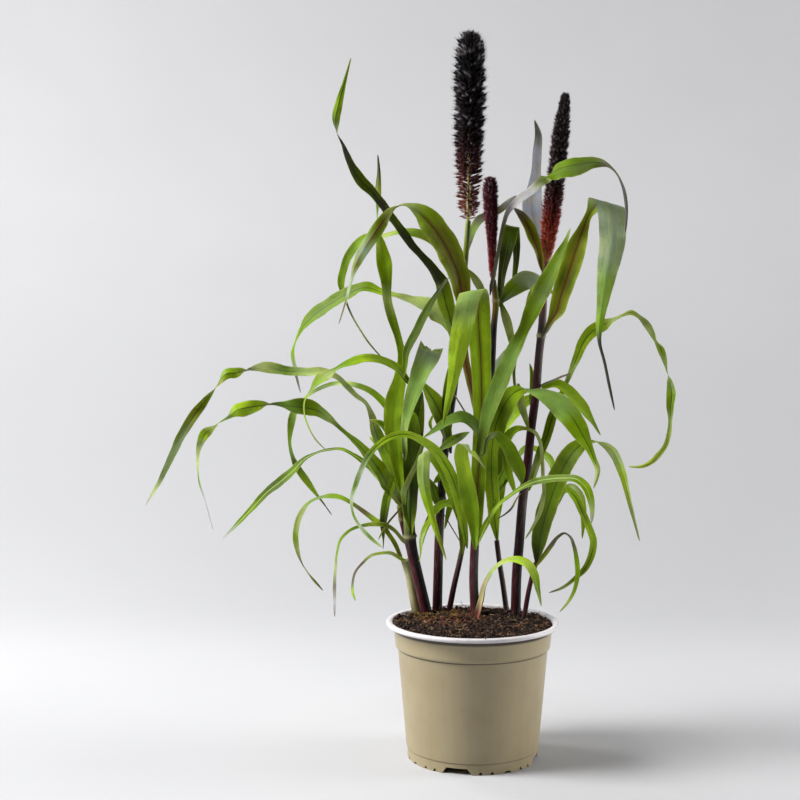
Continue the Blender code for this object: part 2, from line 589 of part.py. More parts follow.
        (14, 336, 4), (17, 350, 4.5), (24, 354, 7), (34, 345, 12), (43, 330, 14), (50, 314, 12),
        (53, 300, 2)]),
    "blade_strip": (-12, -18, [
        (34, 345, 5), (36, 326, 8), (40, 309, 8), (44, 297, 5), (46, 289, 1.5)]),
    "blade_back_tail": (8, -70, [
        (30, 320, 6), (33, 339, 10), (39, 354, 10), (48, 361, 7), (58, 361, 4, 30), (67, 357, 4, 20),
        (73, 345, 4), (75, 328, 4), (76, 308, 4), (77, 289, 4), (73, 270, 4.5), (66, 255, 3),
        (57, 240, 1.5)]),
    "blade_behind_right": (26, 70, [
        (37, 362, 8), (43, 376, 15), (51, 386, 13), (60, 393, 9), (71, 398, 2)]),
    "blade_back_loop": (30, 70, [
        (27, 288, 4), (35, 302, 5), (43, 318, 5), (50, 332, 5), (58, 340, 6), (67, 339, 6),
        (76, 334, 7), (83, 327, 8), (87, 315, 6), (87, 303, 2)]),
    # right shoot
    "blade_up_right": (-19, -60, [
        (8, 336, 8), (11, 354, 10), (16, 376, 14), (24, 398, 17), (34, 422, 17), (44, 446, 15),
        (54, 468, 12, 25), (64, 490, 17, 10), (74, 510, 18), (84, 530, 15), (92, 548, 10), (99, 563, 5),
        (104, 578, 1.5)]),
    "blade_right_fold": (-2, -60, [
        (79, 468, 6), (84, 478, 8), (90, 488, 16), (94, 504, 19), (100, 522, 21), (106, 541, 22), (112, 560, 20),
        (118, 578, 12, 20), (125, 594, 9, 10), (136, 606, 26, 0, -20, -3), (146, 604, 31, 0, -15, -4),
        (149, 586, 29, 0, -3, -4), (149, 566, 27), (146, 545, 24), (142, 520, 18), (139, 497, 12),
        (136, 475, 8), (136, 456, 4), (142, 432, 3), (147, 408, 3), (153, 381, 1.5)]),
    "blade_thin_arch": (3, 150, [
        (64, 303, 6), (68, 318, 8), (73, 334, 9), (80, 352, 10), (86, 374, 10), (92, 391, 7),
        (98, 405, 5, 30), (105, 421, 6), (112, 438, 9), (119, 455, 12), (129, 467, 14),
        (141, 474, 13, 20), (150, 479, 7, 50), (160, 484, 5, 50), (170, 487, 6, 30), (178, 483, 5, 40),
        (186, 475, 8, 20), (192, 465, 7, 10), (196, 457, 4, 50), (202, 447, 8, 20), (206, 436, 6, 30),
        (209, 424, 4, 80), (212, 412, 9, 140), (214, 400, 12, 165), (213, 385, 9, 180),
        (213, 370, 5, 180), (212, 357, 6, 180), (208, 343, 6, 180), (201, 333, 7, 180),
        (193, 325, 6, 180), (182, 320, 4, 180), (168, 320, 1.5, 180)]),
    "blade_right_rear": (10, 2, [
        (79, 406, 6), (90, 409, 9), (101, 403, 12), (112, 392, 13), (122, 379, 10), (130, 367, 5),
        (138, 354, 1.5)]),
    "blade_lilac": (14, 30, [
        (73, 553, 6), (70, 570, 13), (65, 588, 21), (63, 604, 22), (65, 620, 16), (67, 640, 10.5),
        (68, 660, 10), (69, 678, 7.5), (65, 694, 1.5)]),
    "blade_olive_right": (-8, -2, [
        (71, 541, 6), (69, 553, 9), (64, 567, 12), (58, 581, 12), (51, 592, 9), (43, 600, 2)]),
    # low right shoot
    "blade_broad_right": (0, -70, [
        (71, 220, 7), (73, 239, 16), (78, 262, 19), (85, 285, 20), (92, 305, 20), (101, 324, 20),
        (111, 338, 17), (121, 346, 11, 30), (130, 348, 7, 65), (139, 346, 7, 120), (149, 340, 10, 155),
        (157, 327, 10, 175), (163, 310, 8, 180), (168, 290, 6, 180), (173, 270, 4, 180),
        (177, 255, 3, 180), (181, 239, 1.5, 180)]),
    "blade_low_reach": (-7, -120, [
        (8, 240, 4), (13, 252, 6), (19, 264, 5), (28, 277, 3.5), (41, 288, 3.5), (54, 297, 4.5),
        (68, 303, 6), (84, 306, 6.5), (99, 307, 6), (112, 306, 7), (121, 299, 8), (127, 286, 7),
        (129, 272, 5), (129, 258, 1.5)]),
    "blade_right_bow": (12, 60, [
        (73, 222, 4), (77, 240, 6), (83, 262, 7), (91, 282, 8), (101, 295, 8), (110, 288, 9),
        (118, 272, 8), (126, 254, 8), (131, 239, 8), (129, 223, 8), (122, 208, 7), (112, 198, 5),
        (98, 187, 3.5), (83, 181, 1.5)]),
    "blade_right_drop": (18, 95, [
        (72, 224, 4), (75, 240, 6), (81, 260, 7), (88, 280, 8), (97, 293, 8), (107, 297, 8),
        (115, 290, 9), (119, 277, 8), (120, 262, 6), (119, 241, 1.5)]),
    "blade_right_hook": (-7, -90, [
        (74, 217, 4), (79, 224, 5), (86, 234, 5), (93, 243, 3.5), (100, 247, 3, 40), (106, 243, 3, 40),
        (110, 233, 4), (113, 218, 5), (114, 200, 5), (111, 185, 4), (104, 171, 3), (95, 160, 1.5)]),
    # young shoot in front, stem and blade in one
    "sprout": (-16, -60, [
        (6, 158, 6), (9, 172, 5), (13, 190, 4), (20, 203, 4), (29, 212, 4), (39, 217, 4.5),
        (50, 217, 7), (60, 212, 9), (67, 200, 8), (71, 184, 5), (75, 166, 1.5)]),
}


def lying_back(rows, length):
    """Lean of a whole blade: none on one that stands upright, most on one that travels sideways."""
    travel = (rows[0][0] - rows[-1][0]) / (0.5 * length)
    return math.radians(LEAN) * max(-1.0, min(1.0, travel))


def blade_stations(base_depth, tip_depth, rows):
    """Centre and half-width vector of the blade at each of its rows."""
    spans = [0.0]
    for first, second in zip(rows, rows[1:]):
        spans.append(spans[-1] + math.hypot(second[0] - first[0], second[1] - first[1]))
    centres = []
    stepped = 0.0
    for row, span in zip(rows, spans):
        stepped += row[5] if len(row) > 5 else 0.0
        depth = base_depth + (tip_depth - base_depth) * (span / spans[-1]) ** ARCH
        centres.append(seen_at(row[0], row[1], depth + stepped))
    lean = lying_back(rows, spans[-1])
    stations = []
    last_side = None
    for i, row in enumerate(rows):
        ahead = rows[min(i + 1, len(rows) - 1)]
        behind = rows[max(i - 1, 0)]
        turn = math.radians(row[3]) if len(row) > 3 else 0.0
        facing = math.cos(turn)
        folded = len(row) > 4 and row[4] is not None
        if not folded:
            turn += lean * facing ** 2
        widening = min(MOST_WIDENING, max(1.0, abs(facing) / max(abs(math.cos(turn)), 0.1)))
        if folded:
            flat = Vector((math.cos(math.radians(row[4])), 0.0, math.sin(math.radians(row[4]))))
        else:
            flat = Vector((behind[1] - ahead[1], 0.0, ahead[0] - behind[0])).normalized()
        if last_side is None and flat.x < 0.0:
            flat = -flat
        if last_side is not None and flat.dot(last_side) < 0.0:
            flat = -flat
        last_side = flat
        side = flat * math.cos(turn) + Vector((0.0, 1.0, 0.0)) * math.sin(turn)
        along = centres[min(i + 1, len(rows) - 1)] - centres[max(i - 1, 0)]
        along.normalize()
        if not folded:
            side = (side - along * side.dot(along)).normalized()
        stations.append((centres[i], side * row[2] * widening * MM / 2))
    return stations


def make_blade(name, where, look):
    """A strip of triangles from edge to edge, given its thickness by Solidify."""
    strip = bmesh.new()
    pairs = []
    for centre, half in blade_stations(*BLADES[name]):
        pairs.append((strip.verts.new(centre - half), strip.verts.new(centre + half)))
    for (left, right), (next_left, next_right) in zip(pairs, pairs[1:]):
        if (left.co - next_right.co).length < (right.co - next_left.co).length:
            strip.faces.new((left, right, next_right))
            strip.faces.new((left, next_right, next_left))
        else:
            strip.faces.new((left, right, next_left))
            strip.faces.new((right, next_right, next_left))
    mesh = bpy.data.meshes.new(name)
    strip.to_mesh(mesh)
    strip.free()
    blade = add_object(name, mesh, where, look)
    thick = blade.modifiers.new("Thickness", "SOLIDIFY")
    thick.thickness = BLADE_THICKNESS
    thick.offset = 0.0
    return blade


# ---------------------------------------------------------------- the object
def main():
    for old in list(bpy.data.objects):
        bpy.data.objects.remove(old)
    grass = new_collection("potted_fountain_grass")
    cutters = new_collection("cutters")
    looks = {
        "pot": material("pot_sand", (0.52, 0.45, 0.29), 0.5),
        "soil": material("soil_brown", (0.05, 0.03, 0.018), 0.95),
        "stem": material("stem_burgundy", (0.05, 0.012, 0.015), 0.4),
        "sheath": material("sheath_straw", (0.30, 0.29, 0.14), 0.6),
        "spike": material("spike_maroon", (0.09, 0.02, 0.015), 0.8),
        "blade": material("blade_green", (0.12, 0.24, 0.02), 0.45),
    }
    make_pot(grass, cutters, looks["pot"])
    feet = make_shoots(grass, looks)
    make_soil(grass, cutters, looks["soil"], feet)
    for name in SPIKES:
        make_spike(name, grass, looks["spike"])
    for name in BLADES:
        make_blade(name, grass, looks["blade"])


main()
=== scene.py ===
# %% [markdown]
# # Potted fountain grass, from pot to spikes
# This plant is an ornamental millet in a nursery pot. Ten shoots stand in dark peat, three of them
# carry an upright spike, and more than forty long blades arch, fold and twist around them. The
# lesson builds it from the ground up: light and camera, pot, soil, shoots, blades and spikes.
#
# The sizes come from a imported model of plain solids, which is loaded first. Every finer piece
# below takes the place of one of those solids, so both always agree on where things are.

# %% Load the solids
import math
import random

import bmesh
import bpy
import numpy as np
from mathutils import Matrix, Vector, noise


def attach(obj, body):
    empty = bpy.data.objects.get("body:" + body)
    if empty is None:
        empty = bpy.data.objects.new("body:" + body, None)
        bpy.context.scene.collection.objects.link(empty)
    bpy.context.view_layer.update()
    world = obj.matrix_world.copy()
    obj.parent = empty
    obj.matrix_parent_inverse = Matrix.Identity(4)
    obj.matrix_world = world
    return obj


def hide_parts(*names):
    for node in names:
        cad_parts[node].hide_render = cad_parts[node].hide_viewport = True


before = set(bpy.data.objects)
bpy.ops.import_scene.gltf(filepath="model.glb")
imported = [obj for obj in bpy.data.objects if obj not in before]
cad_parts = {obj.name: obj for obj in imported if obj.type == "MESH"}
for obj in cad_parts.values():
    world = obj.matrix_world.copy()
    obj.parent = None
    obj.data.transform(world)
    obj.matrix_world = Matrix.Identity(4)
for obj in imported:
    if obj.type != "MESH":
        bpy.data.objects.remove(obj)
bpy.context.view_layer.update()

MM = 0.001

# %% [markdown]
# ## Camera, floor and light
# A studio photograph of a plant is taken from far back with a longish lens, in front of paper that
# curves up from floor to wall so that no edge shows. Here the paper goes all the way round like a
# drum, so that the plant can be looked at from any side. One large soft light stands on the left,
# a weaker one on the right, and the paper sends the rest back.

# %% Camera
EYE = Vector((0.0, -1.4898, 0.467))
LENS_MM = 61.54
SENSOR_MM = 36.0
EYE_PITCH = -0.0504
EYE_YAW = 0.0536

camera = bpy.data.objects.new("camera", bpy.data.cameras.new("camera"))
bpy.context.scene.collection.objects.link(camera)
camera.location = EYE
camera.rotation_euler = (math.pi / 2 + EYE_PITCH, 0.0, EYE_YAW)
camera.data.lens = LENS_MM
camera.data.sensor_width = SENSOR_MM
bpy.context.scene.camera = camera
bpy.context.scene.view_settings.view_transform = "Standard"
print("camera at", tuple(round(v, 3) for v in camera.location))

# %% [markdown]
# ## Two small helpers for nodes
# A material or a Geometry Nodes tree is a graph. Writing it by hand in Python gets long, so one
# class holds a tree and adds a node with its settings and inputs in one call, and another wraps a
# socket so that ordinary sums and products add the Math nodes.

# %% Node helpers
class Field:
    """A socket whose sums, differences and products add Math nodes."""

    def __init__(self, graph, socket):
        self.graph = graph
        self.socket = socket

    def maths(self, operation, other=0.0):
        """One Math node on this value, and on another where it takes two."""
        return self.graph.add("ShaderNodeMath", {"operation": operation}, {0: self, 1: other})

    def after(self, operation, other):
        """One Math node with the other value first."""
        return self.graph.add("ShaderNodeMath", {"operation": operation}, {0: other, 1: self})

    def __add__(self, other):
        return self.maths("ADD", other)

    def __radd__(self, other):
        return self.after("ADD", other)

    def __sub__(self, other):
        return self.maths("SUBTRACT", other)

    def __rsub__(self, other):
        return self.after("SUBTRACT", other)

    def __mul__(self, other):
        return self.maths("MULTIPLY", other)

    def __rmul__(self, other):
        return self.after("MULTIPLY", other)

    def __truediv__(self, other):
        return self.maths("DIVIDE", other)

    def __rtruediv__(self, other):
        return self.after("DIVIDE", other)

    def __pow__(self, other):
        return self.maths("POWER", other)

    def __abs__(self):
        return self.maths("ABSOLUTE")

    def out(self, name):
        """Another output of the same node."""
        return Field(self.graph, self.socket.node.outputs[name])

    def fade(self, low, high):
        """0 up to low, 1 from high on, smooth between them."""
        return self.graph.add("ShaderNodeMapRange", {"interpolation_type": "SMOOTHSTEP"},
                              {"Value": self, "From Min": low, "From Max": high})


class Graph:
    """One node tree, of a material or of a shape."""

    def __init__(self, tree):
        self.tree = tree

    def add(self, kind, settings=None, inputs=None, out=0):
        """Add a node: its settings first, then the values or links of its sockets."""
        node = self.tree.nodes.new(kind)
        for key, value in (settings or {}).items():
            if key == "stops":
                ramp = node.color_ramp
                while len(ramp.elements) > 1:
                    ramp.elements.remove(ramp.elements[0])
                for i, (place, colour) in enumerate(value):
                    stop = ramp.elements[0] if i == 0 else ramp.elements.new(place)
                    stop.position = place
                    stop.color = colour
            elif key == "points":
                curve = node.mapping.curves[0]
                while len(curve.points) > 2:
                    curve.points.remove(curve.points[1])
                curve.points[0].location = value[0]
                curve.points[1].location = value[-1]
                for point in value[1:-1]:
                    curve.points.new(*point)
                node.mapping.update()
            else:
                setattr(node, key, value)
        for key, value in (inputs or {}).items():
            for one in value if isinstance(value, list) else [value]:
                if isinstance(one, Field):
                    self.tree.links.new(one.socket, node.inputs[key])
                else:
                    node.inputs[key].default_value = one
        return None if out is None else Field(self, node.outputs[out])

    def attribute(self, name, out="Fac"):
        return self.add("ShaderNodeAttribute", {"attribute_name": name}, out=out)

    def blend(self, first, second, share, way="MIX"):
        """Two colours mixed by a share; of a Mix node's sockets, 6 and 7 are the colours."""
        return self.add("ShaderNodeMix", {"data_type": "RGBA", "blend_type": way},
                        {0: share, 6: first, 7: second}, out=2)

    def vector(self, x, y, z):
        return self.add("ShaderNodeCombineXYZ", None, {0: x, 1: y, 2: z})

    def axes(self, vector):
        """The three numbers of a vector."""
        first = self.add("ShaderNodeSeparateXYZ", None, {0: vector})
        return first, first.out("Y"), first.out("Z")

    def scaled(self, vector, amount):
        """A vector or a colour times a value."""
        return self.add("ShaderNodeVectorMath", {"operation": "SCALE"}, {0: vector, "Scale": amount})

    def place(self):
        """Object coordinates: the place on the piece, in metres."""
        return self.add("ShaderNodeTexCoord", out="Object")

    def grain(self, where, scale, detail=3.0, roughness=0.55):
        """Noise between 0 and 1 at a place."""
        return self.add("ShaderNodeTexNoise", None, {"Vector": where, "Scale": scale, "Detail": detail,
                                                     "Roughness": roughness})


def linear(red, green, blue):
    """Undo the sRGB curve: a screen colour, 0 to 255, becomes the linear values that nodes use."""
    shares = [v / 255.0 for v in (red, green, blue)]
    return (*(v / 12.92 if v <= 0.04045 else ((v + 0.055) / 1.055) ** 2.4 for v in shares), 1.0)


def grey(value, bluer=0):
    return linear(value, value, value + bluer)


def new_look(name, roughness):
    """A material with a graph on it, and its Principled shader."""
    made = bpy.data.materials.new(name)
    made.use_nodes = True
    shader = made.node_tree.nodes["Principled BSDF"]
    shader.inputs["Roughness"].default_value = roughness
    return made, Graph(made.node_tree), shader


def feed(graph, shader, name, field):
    graph.tree.links.new(field.socket, shader.inputs[name])


def roughen(graph, shader, height, strength, distance):
    """Bump from a height field."""
    bump = graph.add("ShaderNodeBump", None, {"Height": height, "Strength": strength, "Distance": distance})
    feed(graph, shader, "Normal", bump)


print("helpers ready")

# %% [markdown]
# The paper is a profile turned once round: a flat floor, a wide quarter circle and a wall. A turned
# profile is the simplest way to a surface with no seam in view.

# %% Paper drum
DRUM_RADIUS = 3.4
DRUM_CORNER = 2.4
DRUM_HEIGHT = 3.8
DRUM_SIDES = 96
CORNER_STEPS = 24
MERGE = 0.00001
SLIVER = 0.000001
# Greys from 0 to 255: the paper, how much its clouds are darker, how much painted shade darkens
# its bend and the floor on the left, and its front half.
PAPER = 184
CLOUD_DARKER = 5
BEND_DARKER = 34
PAPER_FRONT = 50
SHADE_SHARE = 0.4


def turned_mesh(name, profile, angles):
    """A surface of revolution from (radius, height) points, one column for each angle."""
    made = bmesh.new()
    columns = []
    for angle in angles:
        column = [made.verts.new((r * math.cos(angle), r * math.sin(angle), z)) for r, z in profile]
        columns.append(column)
    for i, column in enumerate(columns):
        following = columns[(i + 1) % len(columns)]
        for j in range(len(profile) - 1):
            made.faces.new((column[j], column[j + 1], following[j + 1], following[j]))
    bmesh.ops.remove_doubles(made, verts=made.verts, dist=MERGE)
    bmesh.ops.dissolve_degenerate(made, edges=made.edges, dist=SLIVER)
    if profile[-1][0] == 0.0:
        bmesh.ops.recalc_face_normals(made, faces=made.faces)
    mesh = bpy.data.meshes.new(name)
    made.to_mesh(mesh)
    made.free()
    return mesh


def even_angles(count):
    return [math.tau * i / count for i in range(count)]


paper_profile = [(0.0, 0.0)]
for i in range(CORNER_STEPS + 1):
    angle = math.pi / 2 * i / CORNER_STEPS
    paper_profile.append((DRUM_RADIUS - DRUM_CORNER + DRUM_CORNER * math.sin(angle),
                          DRUM_CORNER - DRUM_CORNER * math.cos(angle)))
paper_profile.append((DRUM_RADIUS, DRUM_HEIGHT))
paper_mesh = turned_mesh("paper", paper_profile, even_angles(DRUM_SIDES))
paper_mesh.shade_smooth()
paper = bpy.data.objects.new("paper", paper_mesh)
bpy.context.scene.collection.objects.link(paper)

paper_look, graph, shader = new_look("studio_paper", 0.85)
where = graph.place()
right, back, up = graph.axes(where)
sheet = graph.blend(grey(PAPER, 2), grey(PAPER - CLOUD_DARKER, 1), graph.grain(where, 3.0))
# Painted shade: grey is blended in low on the back wall and on the floor to the left.
bend_shade = back.fade(0.2, 0.8) * (1.0 - up.fade(0.0, 0.9))
side_shade = (1.0 - right.fade(-0.7, -0.1)) * (1.0 - back.fade(0.0, 0.6))
darker = bend_shade * SHADE_SHARE + side_shade * SHADE_SHARE
sheet = graph.blend(sheet, grey(PAPER - BEND_DARKER, 3), darker)
feed(graph, shader, "Base Color", graph.blend(grey(PAPER_FRONT), sheet, back.fade(-1.7, -0.7)))
shader.inputs["Specular IOR Level"].default_value = 0.15
paper_mesh.materials.append(paper_look)
print("paper:", len(paper_mesh.polygons), "faces")

# %% [markdown]
# The lights are square panels: the larger a panel, the softer the edge of its shadow. Two stand on
# the left, one fills in from the right, and two light the wall alone, so that its brightness is set
# apart from the plant's.

# %% Lights
# Place of each panel, the point that it faces, its width in metres and its power in watts.
PLANT = (0.0, 0.0, 0.2)
PANELS = {
    "light_left": ((-1.55, -0.44, 1.9), PLANT, 1.0, 62.0),
    "light_left_low": ((-2.0, -0.3, 1.4), PLANT, 0.8, 50.0),
    "light_right": ((1.9, 0.2, 0.6), PLANT, 0.9, 35.0),
    "light_wall": ((-1.5, 1.0, 2.4), (-0.5, 3.0, 1.2), 1.0, 58.0),
    "light_wall_right": ((1.2, 1.0, 2.4), (1.0, 3.0, 1.2), 1.0, 14.0),
}
ROOM_COLOUR = (0.93, 0.95, 1.0, 1.0)
ROOM_STRENGTH = 0.01

for name, (stand, aim, width, power) in PANELS.items():
    panel = bpy.data.lights.new(name, "AREA")
    panel.size = width
    panel.energy = power
    holder = bpy.data.objects.new(name, panel)
    bpy.context.scene.collection.objects.link(holder)
    holder.location = stand
    holder.rotation_euler = (Vector(aim) - Vector(stand)).to_track_quat("-Z", "Y").to_euler()
    holder.visible_camera = False
world = bpy.data.worlds.new("soft_room")
bpy.context.scene.world = world
world.use_nodes = True
world.node_tree.nodes["Background"].inputs["Color"].default_value = ROOM_COLOUR
world.node_tree.nodes["Background"].inputs["Strength"].default_value = ROOM_STRENGTH
print("lights:", list(PANELS))

# %% [markdown]
# ## Pieces
# A finished piece is one mesh with its place baked in. It rides on the pot and hides the plain
# solids that it stands for.

# %% Finished pieces
def finished(name, mesh, looks, slot, *nodes):
    """Link a finished mesh as a piece in place of the named solids."""
    made = bpy.data.objects.new(name, mesh)
    bpy.context.scene.collection.objects.link(made)
    if not mesh.materials:
        for look in looks:
            mesh.materials.append(look)
    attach(made, "root")
    if nodes:
        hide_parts(*nodes)


def triangles(mesh):
    mesh.calc_loop_triangles()
    return len(mesh.loop_triangles)


# %% [markdown]
# ## The pot
# A nursery pot is blown or injected plastic: a thin wall with a rolled rim, one step that stiffens
# the collar, and a foot ring with notches that let water out. A turned profile gives all of it, and
# the notches need no cutting: the columns of the turned mesh are placed at the notches' corners and
# their lowest points are lifted there.

# %% Pot sizes
POT_HEIGHT = 0.150
RIM_RADIUS = 0.095
BEAD_WIDTH = 0.007
BEAD_HEIGHT = 0.0048
COLLAR_RADIUS = 0.0865
STEP_Z = 0.122
STEP_DEPTH = 0.0022
FOOT_RADIUS = 0.0715
WALL = 0.0018
FOOT_RING_WIDTH = 0.0045
FOOT_HEIGHT = 0.0070
PAD_RADIUS = 0.018
BASE_RECESS = 0.0068
FLOOR_TOP = 0.0088
NOTCH_ANGLE = -103.4
HOLE_CIRCLE = 0.052
HOLE_RADIUS = 0.0045
HOLE_DEPTH = 0.010
BEAD_STEPS = 14
# Of the bead's section: how boxy its sides and its top are, and how far its edges lie below.
BEAD_SIDE = 0.8
BEAD_TOP = 0.7
BEAD_DROP = 0.55

# Offset from the middle of a quarter and width at the bottom and at the top, in degrees; height.
NOTCHES = [(0.0, 26.4, 18.5, 0.0065), (-30.5, 3.5, 1.1, 0.0030), (-20.5, 3.5, 1.1, 0.0030),
           (20.5, 3.5, 1.1, 0.0030), (30.5, 3.5, 1.1, 0.0030), (45.0, 6.4, 4.8, 0.0020)]
step_in = COLLAR_RADIUS - STEP_DEPTH
bead_low = POT_HEIGHT - BEAD_HEIGHT
ring_in = FOOT_RADIUS - FOOT_RING_WIDTH
bead_middle = RIM_RADIUS - BEAD_WIDTH / 2


def bead_points():
    """Over the rolled rim from inside to outside."""
    points = []
    for i in range(BEAD_STEPS + 1):
        angle = math.pi * (1.0 - i / BEAD_STEPS)
        width = math.copysign(abs(math.cos(angle)) ** BEAD_SIDE, math.cos(angle)) * BEAD_WIDTH / 2
        drop = BEAD_HEIGHT * BEAD_DROP * (1.0 - math.sin(angle) ** BEAD_TOP)
        points.append((bead_middle + width, POT_HEIGHT - drop))
    return points


# The profile runs from the floor's middle up the inside, over the bead, down the outside and back
# under the foot. The tenths of a millimetre in it are the small roundings of its corners.
inner_side = [(0.0, FLOOR_TOP), (FOOT_RADIUS - 2.4 * WALL, FLOOR_TOP),
              (FOOT_RADIUS - 1.2 * WALL, FLOOR_TOP + WALL),
              (step_in - STEP_DEPTH - WALL, STEP_Z - STEP_DEPTH), (step_in - WALL, STEP_Z + STEP_DEPTH),
              (COLLAR_RADIUS - WALL, bead_low)]
outer_side = [(RIM_RADIUS - 0.0004, bead_low + 0.0010), (RIM_RADIUS - 0.0016, bead_low + 0.0001),
              (RIM_RADIUS - 0.0030, bead_low), (COLLAR_RADIUS + 0.0008, bead_low),
              (COLLAR_RADIUS + 0.0003, bead_low - 0.0008), (step_in + 0.0006, STEP_Z + 0.0030),
              (step_in + 0.0004, STEP_Z + 0.0008), (step_in - 0.0002, STEP_Z + 0.0001),
              (step_in - STEP_DEPTH + 0.0003, STEP_Z - 0.0006), (step_in - STEP_DEPTH, STEP_Z - 0.0016),
              (FOOT_RADIUS + 0.0013, FOOT_HEIGHT + 0.0062), (FOOT_RADIUS + 0.0011, FOOT_HEIGHT + 0.0052),
              (FOOT_RADIUS + 0.0004, FOOT_HEIGHT + 0.0046), (FOOT_RADIUS, FOOT_HEIGHT)]
foot = [(FOOT_RADIUS, 0.0004), (FOOT_RADIUS - 0.0004, 0.0), (ring_in + 0.0004, 0.0), (ring_in, 0.0004)]
under = [(ring_in - 0.0012, BASE_RECESS), (PAD_RADIUS + 0.0012, BASE_RECESS), (PAD_RADIUS, 0.0), (0.0, 0.0)]
pot_profile = inner_side + bead_points() + outer_side + foot + under
print("pot profile:", len(pot_profile), "points")

# %% [markdown]
# The columns of the turned mesh stand every few degrees, and one more stands at each corner of each
# notch. A column that would come too near to a corner is left out.

# %% Pot mesh
COLUMN_STEP = 2.5
COLUMN_ROOM = 0.4
SHARP = 38.0
HOLE_SIDES = 24
NEAR = 0.0002


def lift_at(degrees):
    """Height of the foot ring's underside at an angle round the pot."""
    lift = 0.0
    for quarter in range(4):
        for offset, wide, narrow, height in NOTCHES:
            away = abs((degrees - NOTCH_ANGLE - 90.0 * quarter - offset + 180.0) % 360.0 - 180.0)
            if away < wide / 2:
                lift = max(lift, height * min(1.0, (wide / 2 - away) / ((wide - narrow) / 2)))
    return lift


def pot_angles():
    """Even columns, and one at each corner of each notch."""
    degrees = {round(COLUMN_STEP * i, 3) for i in range(round(360.0 / COLUMN_STEP))}
    for quarter in range(4):
        for offset, wide, narrow, _ in NOTCHES:
            for reach in (-wide / 2, -narrow / 2, narrow / 2, wide / 2):
                corner = round((NOTCH_ANGLE + 90.0 * quarter + offset + reach) % 360.0, 3)
                degrees = {d for d in degrees if abs(d - corner) > COLUMN_ROOM} | {corner}
    return sorted(degrees)


pot_mesh = turned_mesh("pot", pot_profile, [math.radians(d) for d in pot_angles()])
for vertex in pot_mesh.vertices:
    on_ring = vertex.co.xy.length > ring_in - NEAR
    if on_ring and vertex.co.z < foot[0][1] + NEAR:
        vertex.co.z += lift_at(math.degrees(math.atan2(vertex.co.y, vertex.co.x)))


def drained(mesh):
    """The pot with its four round holes cut through the floor."""
    drill = bmesh.new()
    for quarter in range(4):
        turn = math.radians(NOTCH_ANGLE + 45.0 + 90.0 * quarter)
        place = Matrix.Translation((HOLE_CIRCLE * math.cos(turn), HOLE_CIRCLE * math.sin(turn), FLOOR_TOP))
        bmesh.ops.create_cone(drill, cap_ends=True, segments=HOLE_SIDES, radius1=HOLE_RADIUS,
                              radius2=HOLE_RADIUS, depth=HOLE_DEPTH, matrix=place)
    bits = bpy.data.meshes.new("drill_bits")
    drill.to_mesh(bits)
    drill.free()
    cutter = bpy.data.objects.new("drill_bits", bits)
    holder = bpy.data.objects.new("pot_blank", mesh)
    for made in (cutter, holder):
        bpy.context.scene.collection.objects.link(made)
    cut = holder.modifiers.new("Holes", "BOOLEAN")
    cut.operation = "DIFFERENCE"
    cut.solver = "EXACT"
    cut.object = cutter
    bpy.context.view_layer.update()
    result = bpy.data.meshes.new_from_object(holder.evaluated_get(bpy.context.evaluated_depsgraph_get()))
    bpy.data.objects.remove(holder)
    bpy.data.objects.remove(cutter)
    return result


pot_mesh = drained(pot_mesh)
for face in pot_mesh.polygons:
    centre = face.center
    faces_in = face.normal.xy.dot(centre.xy) < 0.0
    white = centre.z > bead_low + NEAR or (faces_in and centre.z > FLOOR_TOP - NEAR)
    face.material_index = 1 if white else 0
pot_mesh.shade_smooth()
pot_mesh.set_sharp_from_angle(angle=math.radians(SHARP))
print("pot:", triangles(pot_mesh), "triangles")

# %% [markdown]
# The plastic is sand-coloured with an off-white skin inside and over the rim. Such plastic is never
# one flat colour: flow lines run down the wall, dust gathers low down, fine scratches break up the
# sheen, and painted shade darkens the creases under the rim, at the step and above the foot. All of
# it is noise stretched along the height.

# %% Pot finish
# Height of each crease that gets painted shade, how far the shade spreads and how dark it is.
CREASES = [(0.1427, 0.0034, 0.95), (0.1207, 0.0010, 0.75), (0.0117, 0.0009, 0.45)]
CREASE_SHADE = linear(50, 40, 27)
FLOW_TINT = linear(120, 108, 78)
FLOW_STRETCH = (1.0, 1.0, 0.03)
# Noise scales in waves to the metre: the larger, the finer.
FLOW_SCALE = 150.0
CLOUD_SCALE = 26.0
SPECK_SCALE = 900.0
SCRATCH_SCALE = 420.0
SPLASH_LOW = 0.004
SPLASH_HIGH = 0.030
PLASTIC_ROUGHNESS = 0.42


def plastic(name, clean, worn):
    """Matt plastic with flow lines, cloudy dust, fine scratches and painted shade along the creases."""
    look, graph, shader = new_look(name, PLASTIC_ROUGHNESS)
    where = graph.place()
    height = graph.axes(where)[2]
    drawn = graph.add("ShaderNodeMapping", None, {"Vector": where, "Scale": FLOW_STRETCH})
    flow = graph.grain(drawn, FLOW_SCALE, 2.0)
    cloud = graph.grain(where, CLOUD_SCALE, 4.0)
    speck = graph.grain(where, SPECK_SCALE, 2.0).fade(0.66, 0.78)
    low = 1.0 - height.fade(SPLASH_LOW, SPLASH_HIGH)
    dust = cloud.fade(0.42, 0.75) * 0.35 + low * 0.35 + speck * 0.4
    tone = graph.blend(clean, worn, dust)
    tone = graph.blend(tone, FLOW_TINT, flow.fade(0.35, 0.8) * 0.10)
    # Painted shade: a dark band along each crease, under the rim, at the step and above the foot.
    for crease, reach, share in CREASES:
        line = 1.0 - abs(height - crease).fade(reach * 0.4, reach)
        tone = graph.blend(tone, CREASE_SHADE, line * share)
    feed(graph, shader, "Base Color", tone)
    feed(graph, shader, "Roughness", PLASTIC_ROUGHNESS - 0.08 + 0.16 * cloud)
    roughen(graph, shader, flow * 0.5 + graph.grain(where, SCRATCH_SCALE, 3.0), 0.12, 0.0006)
    return look


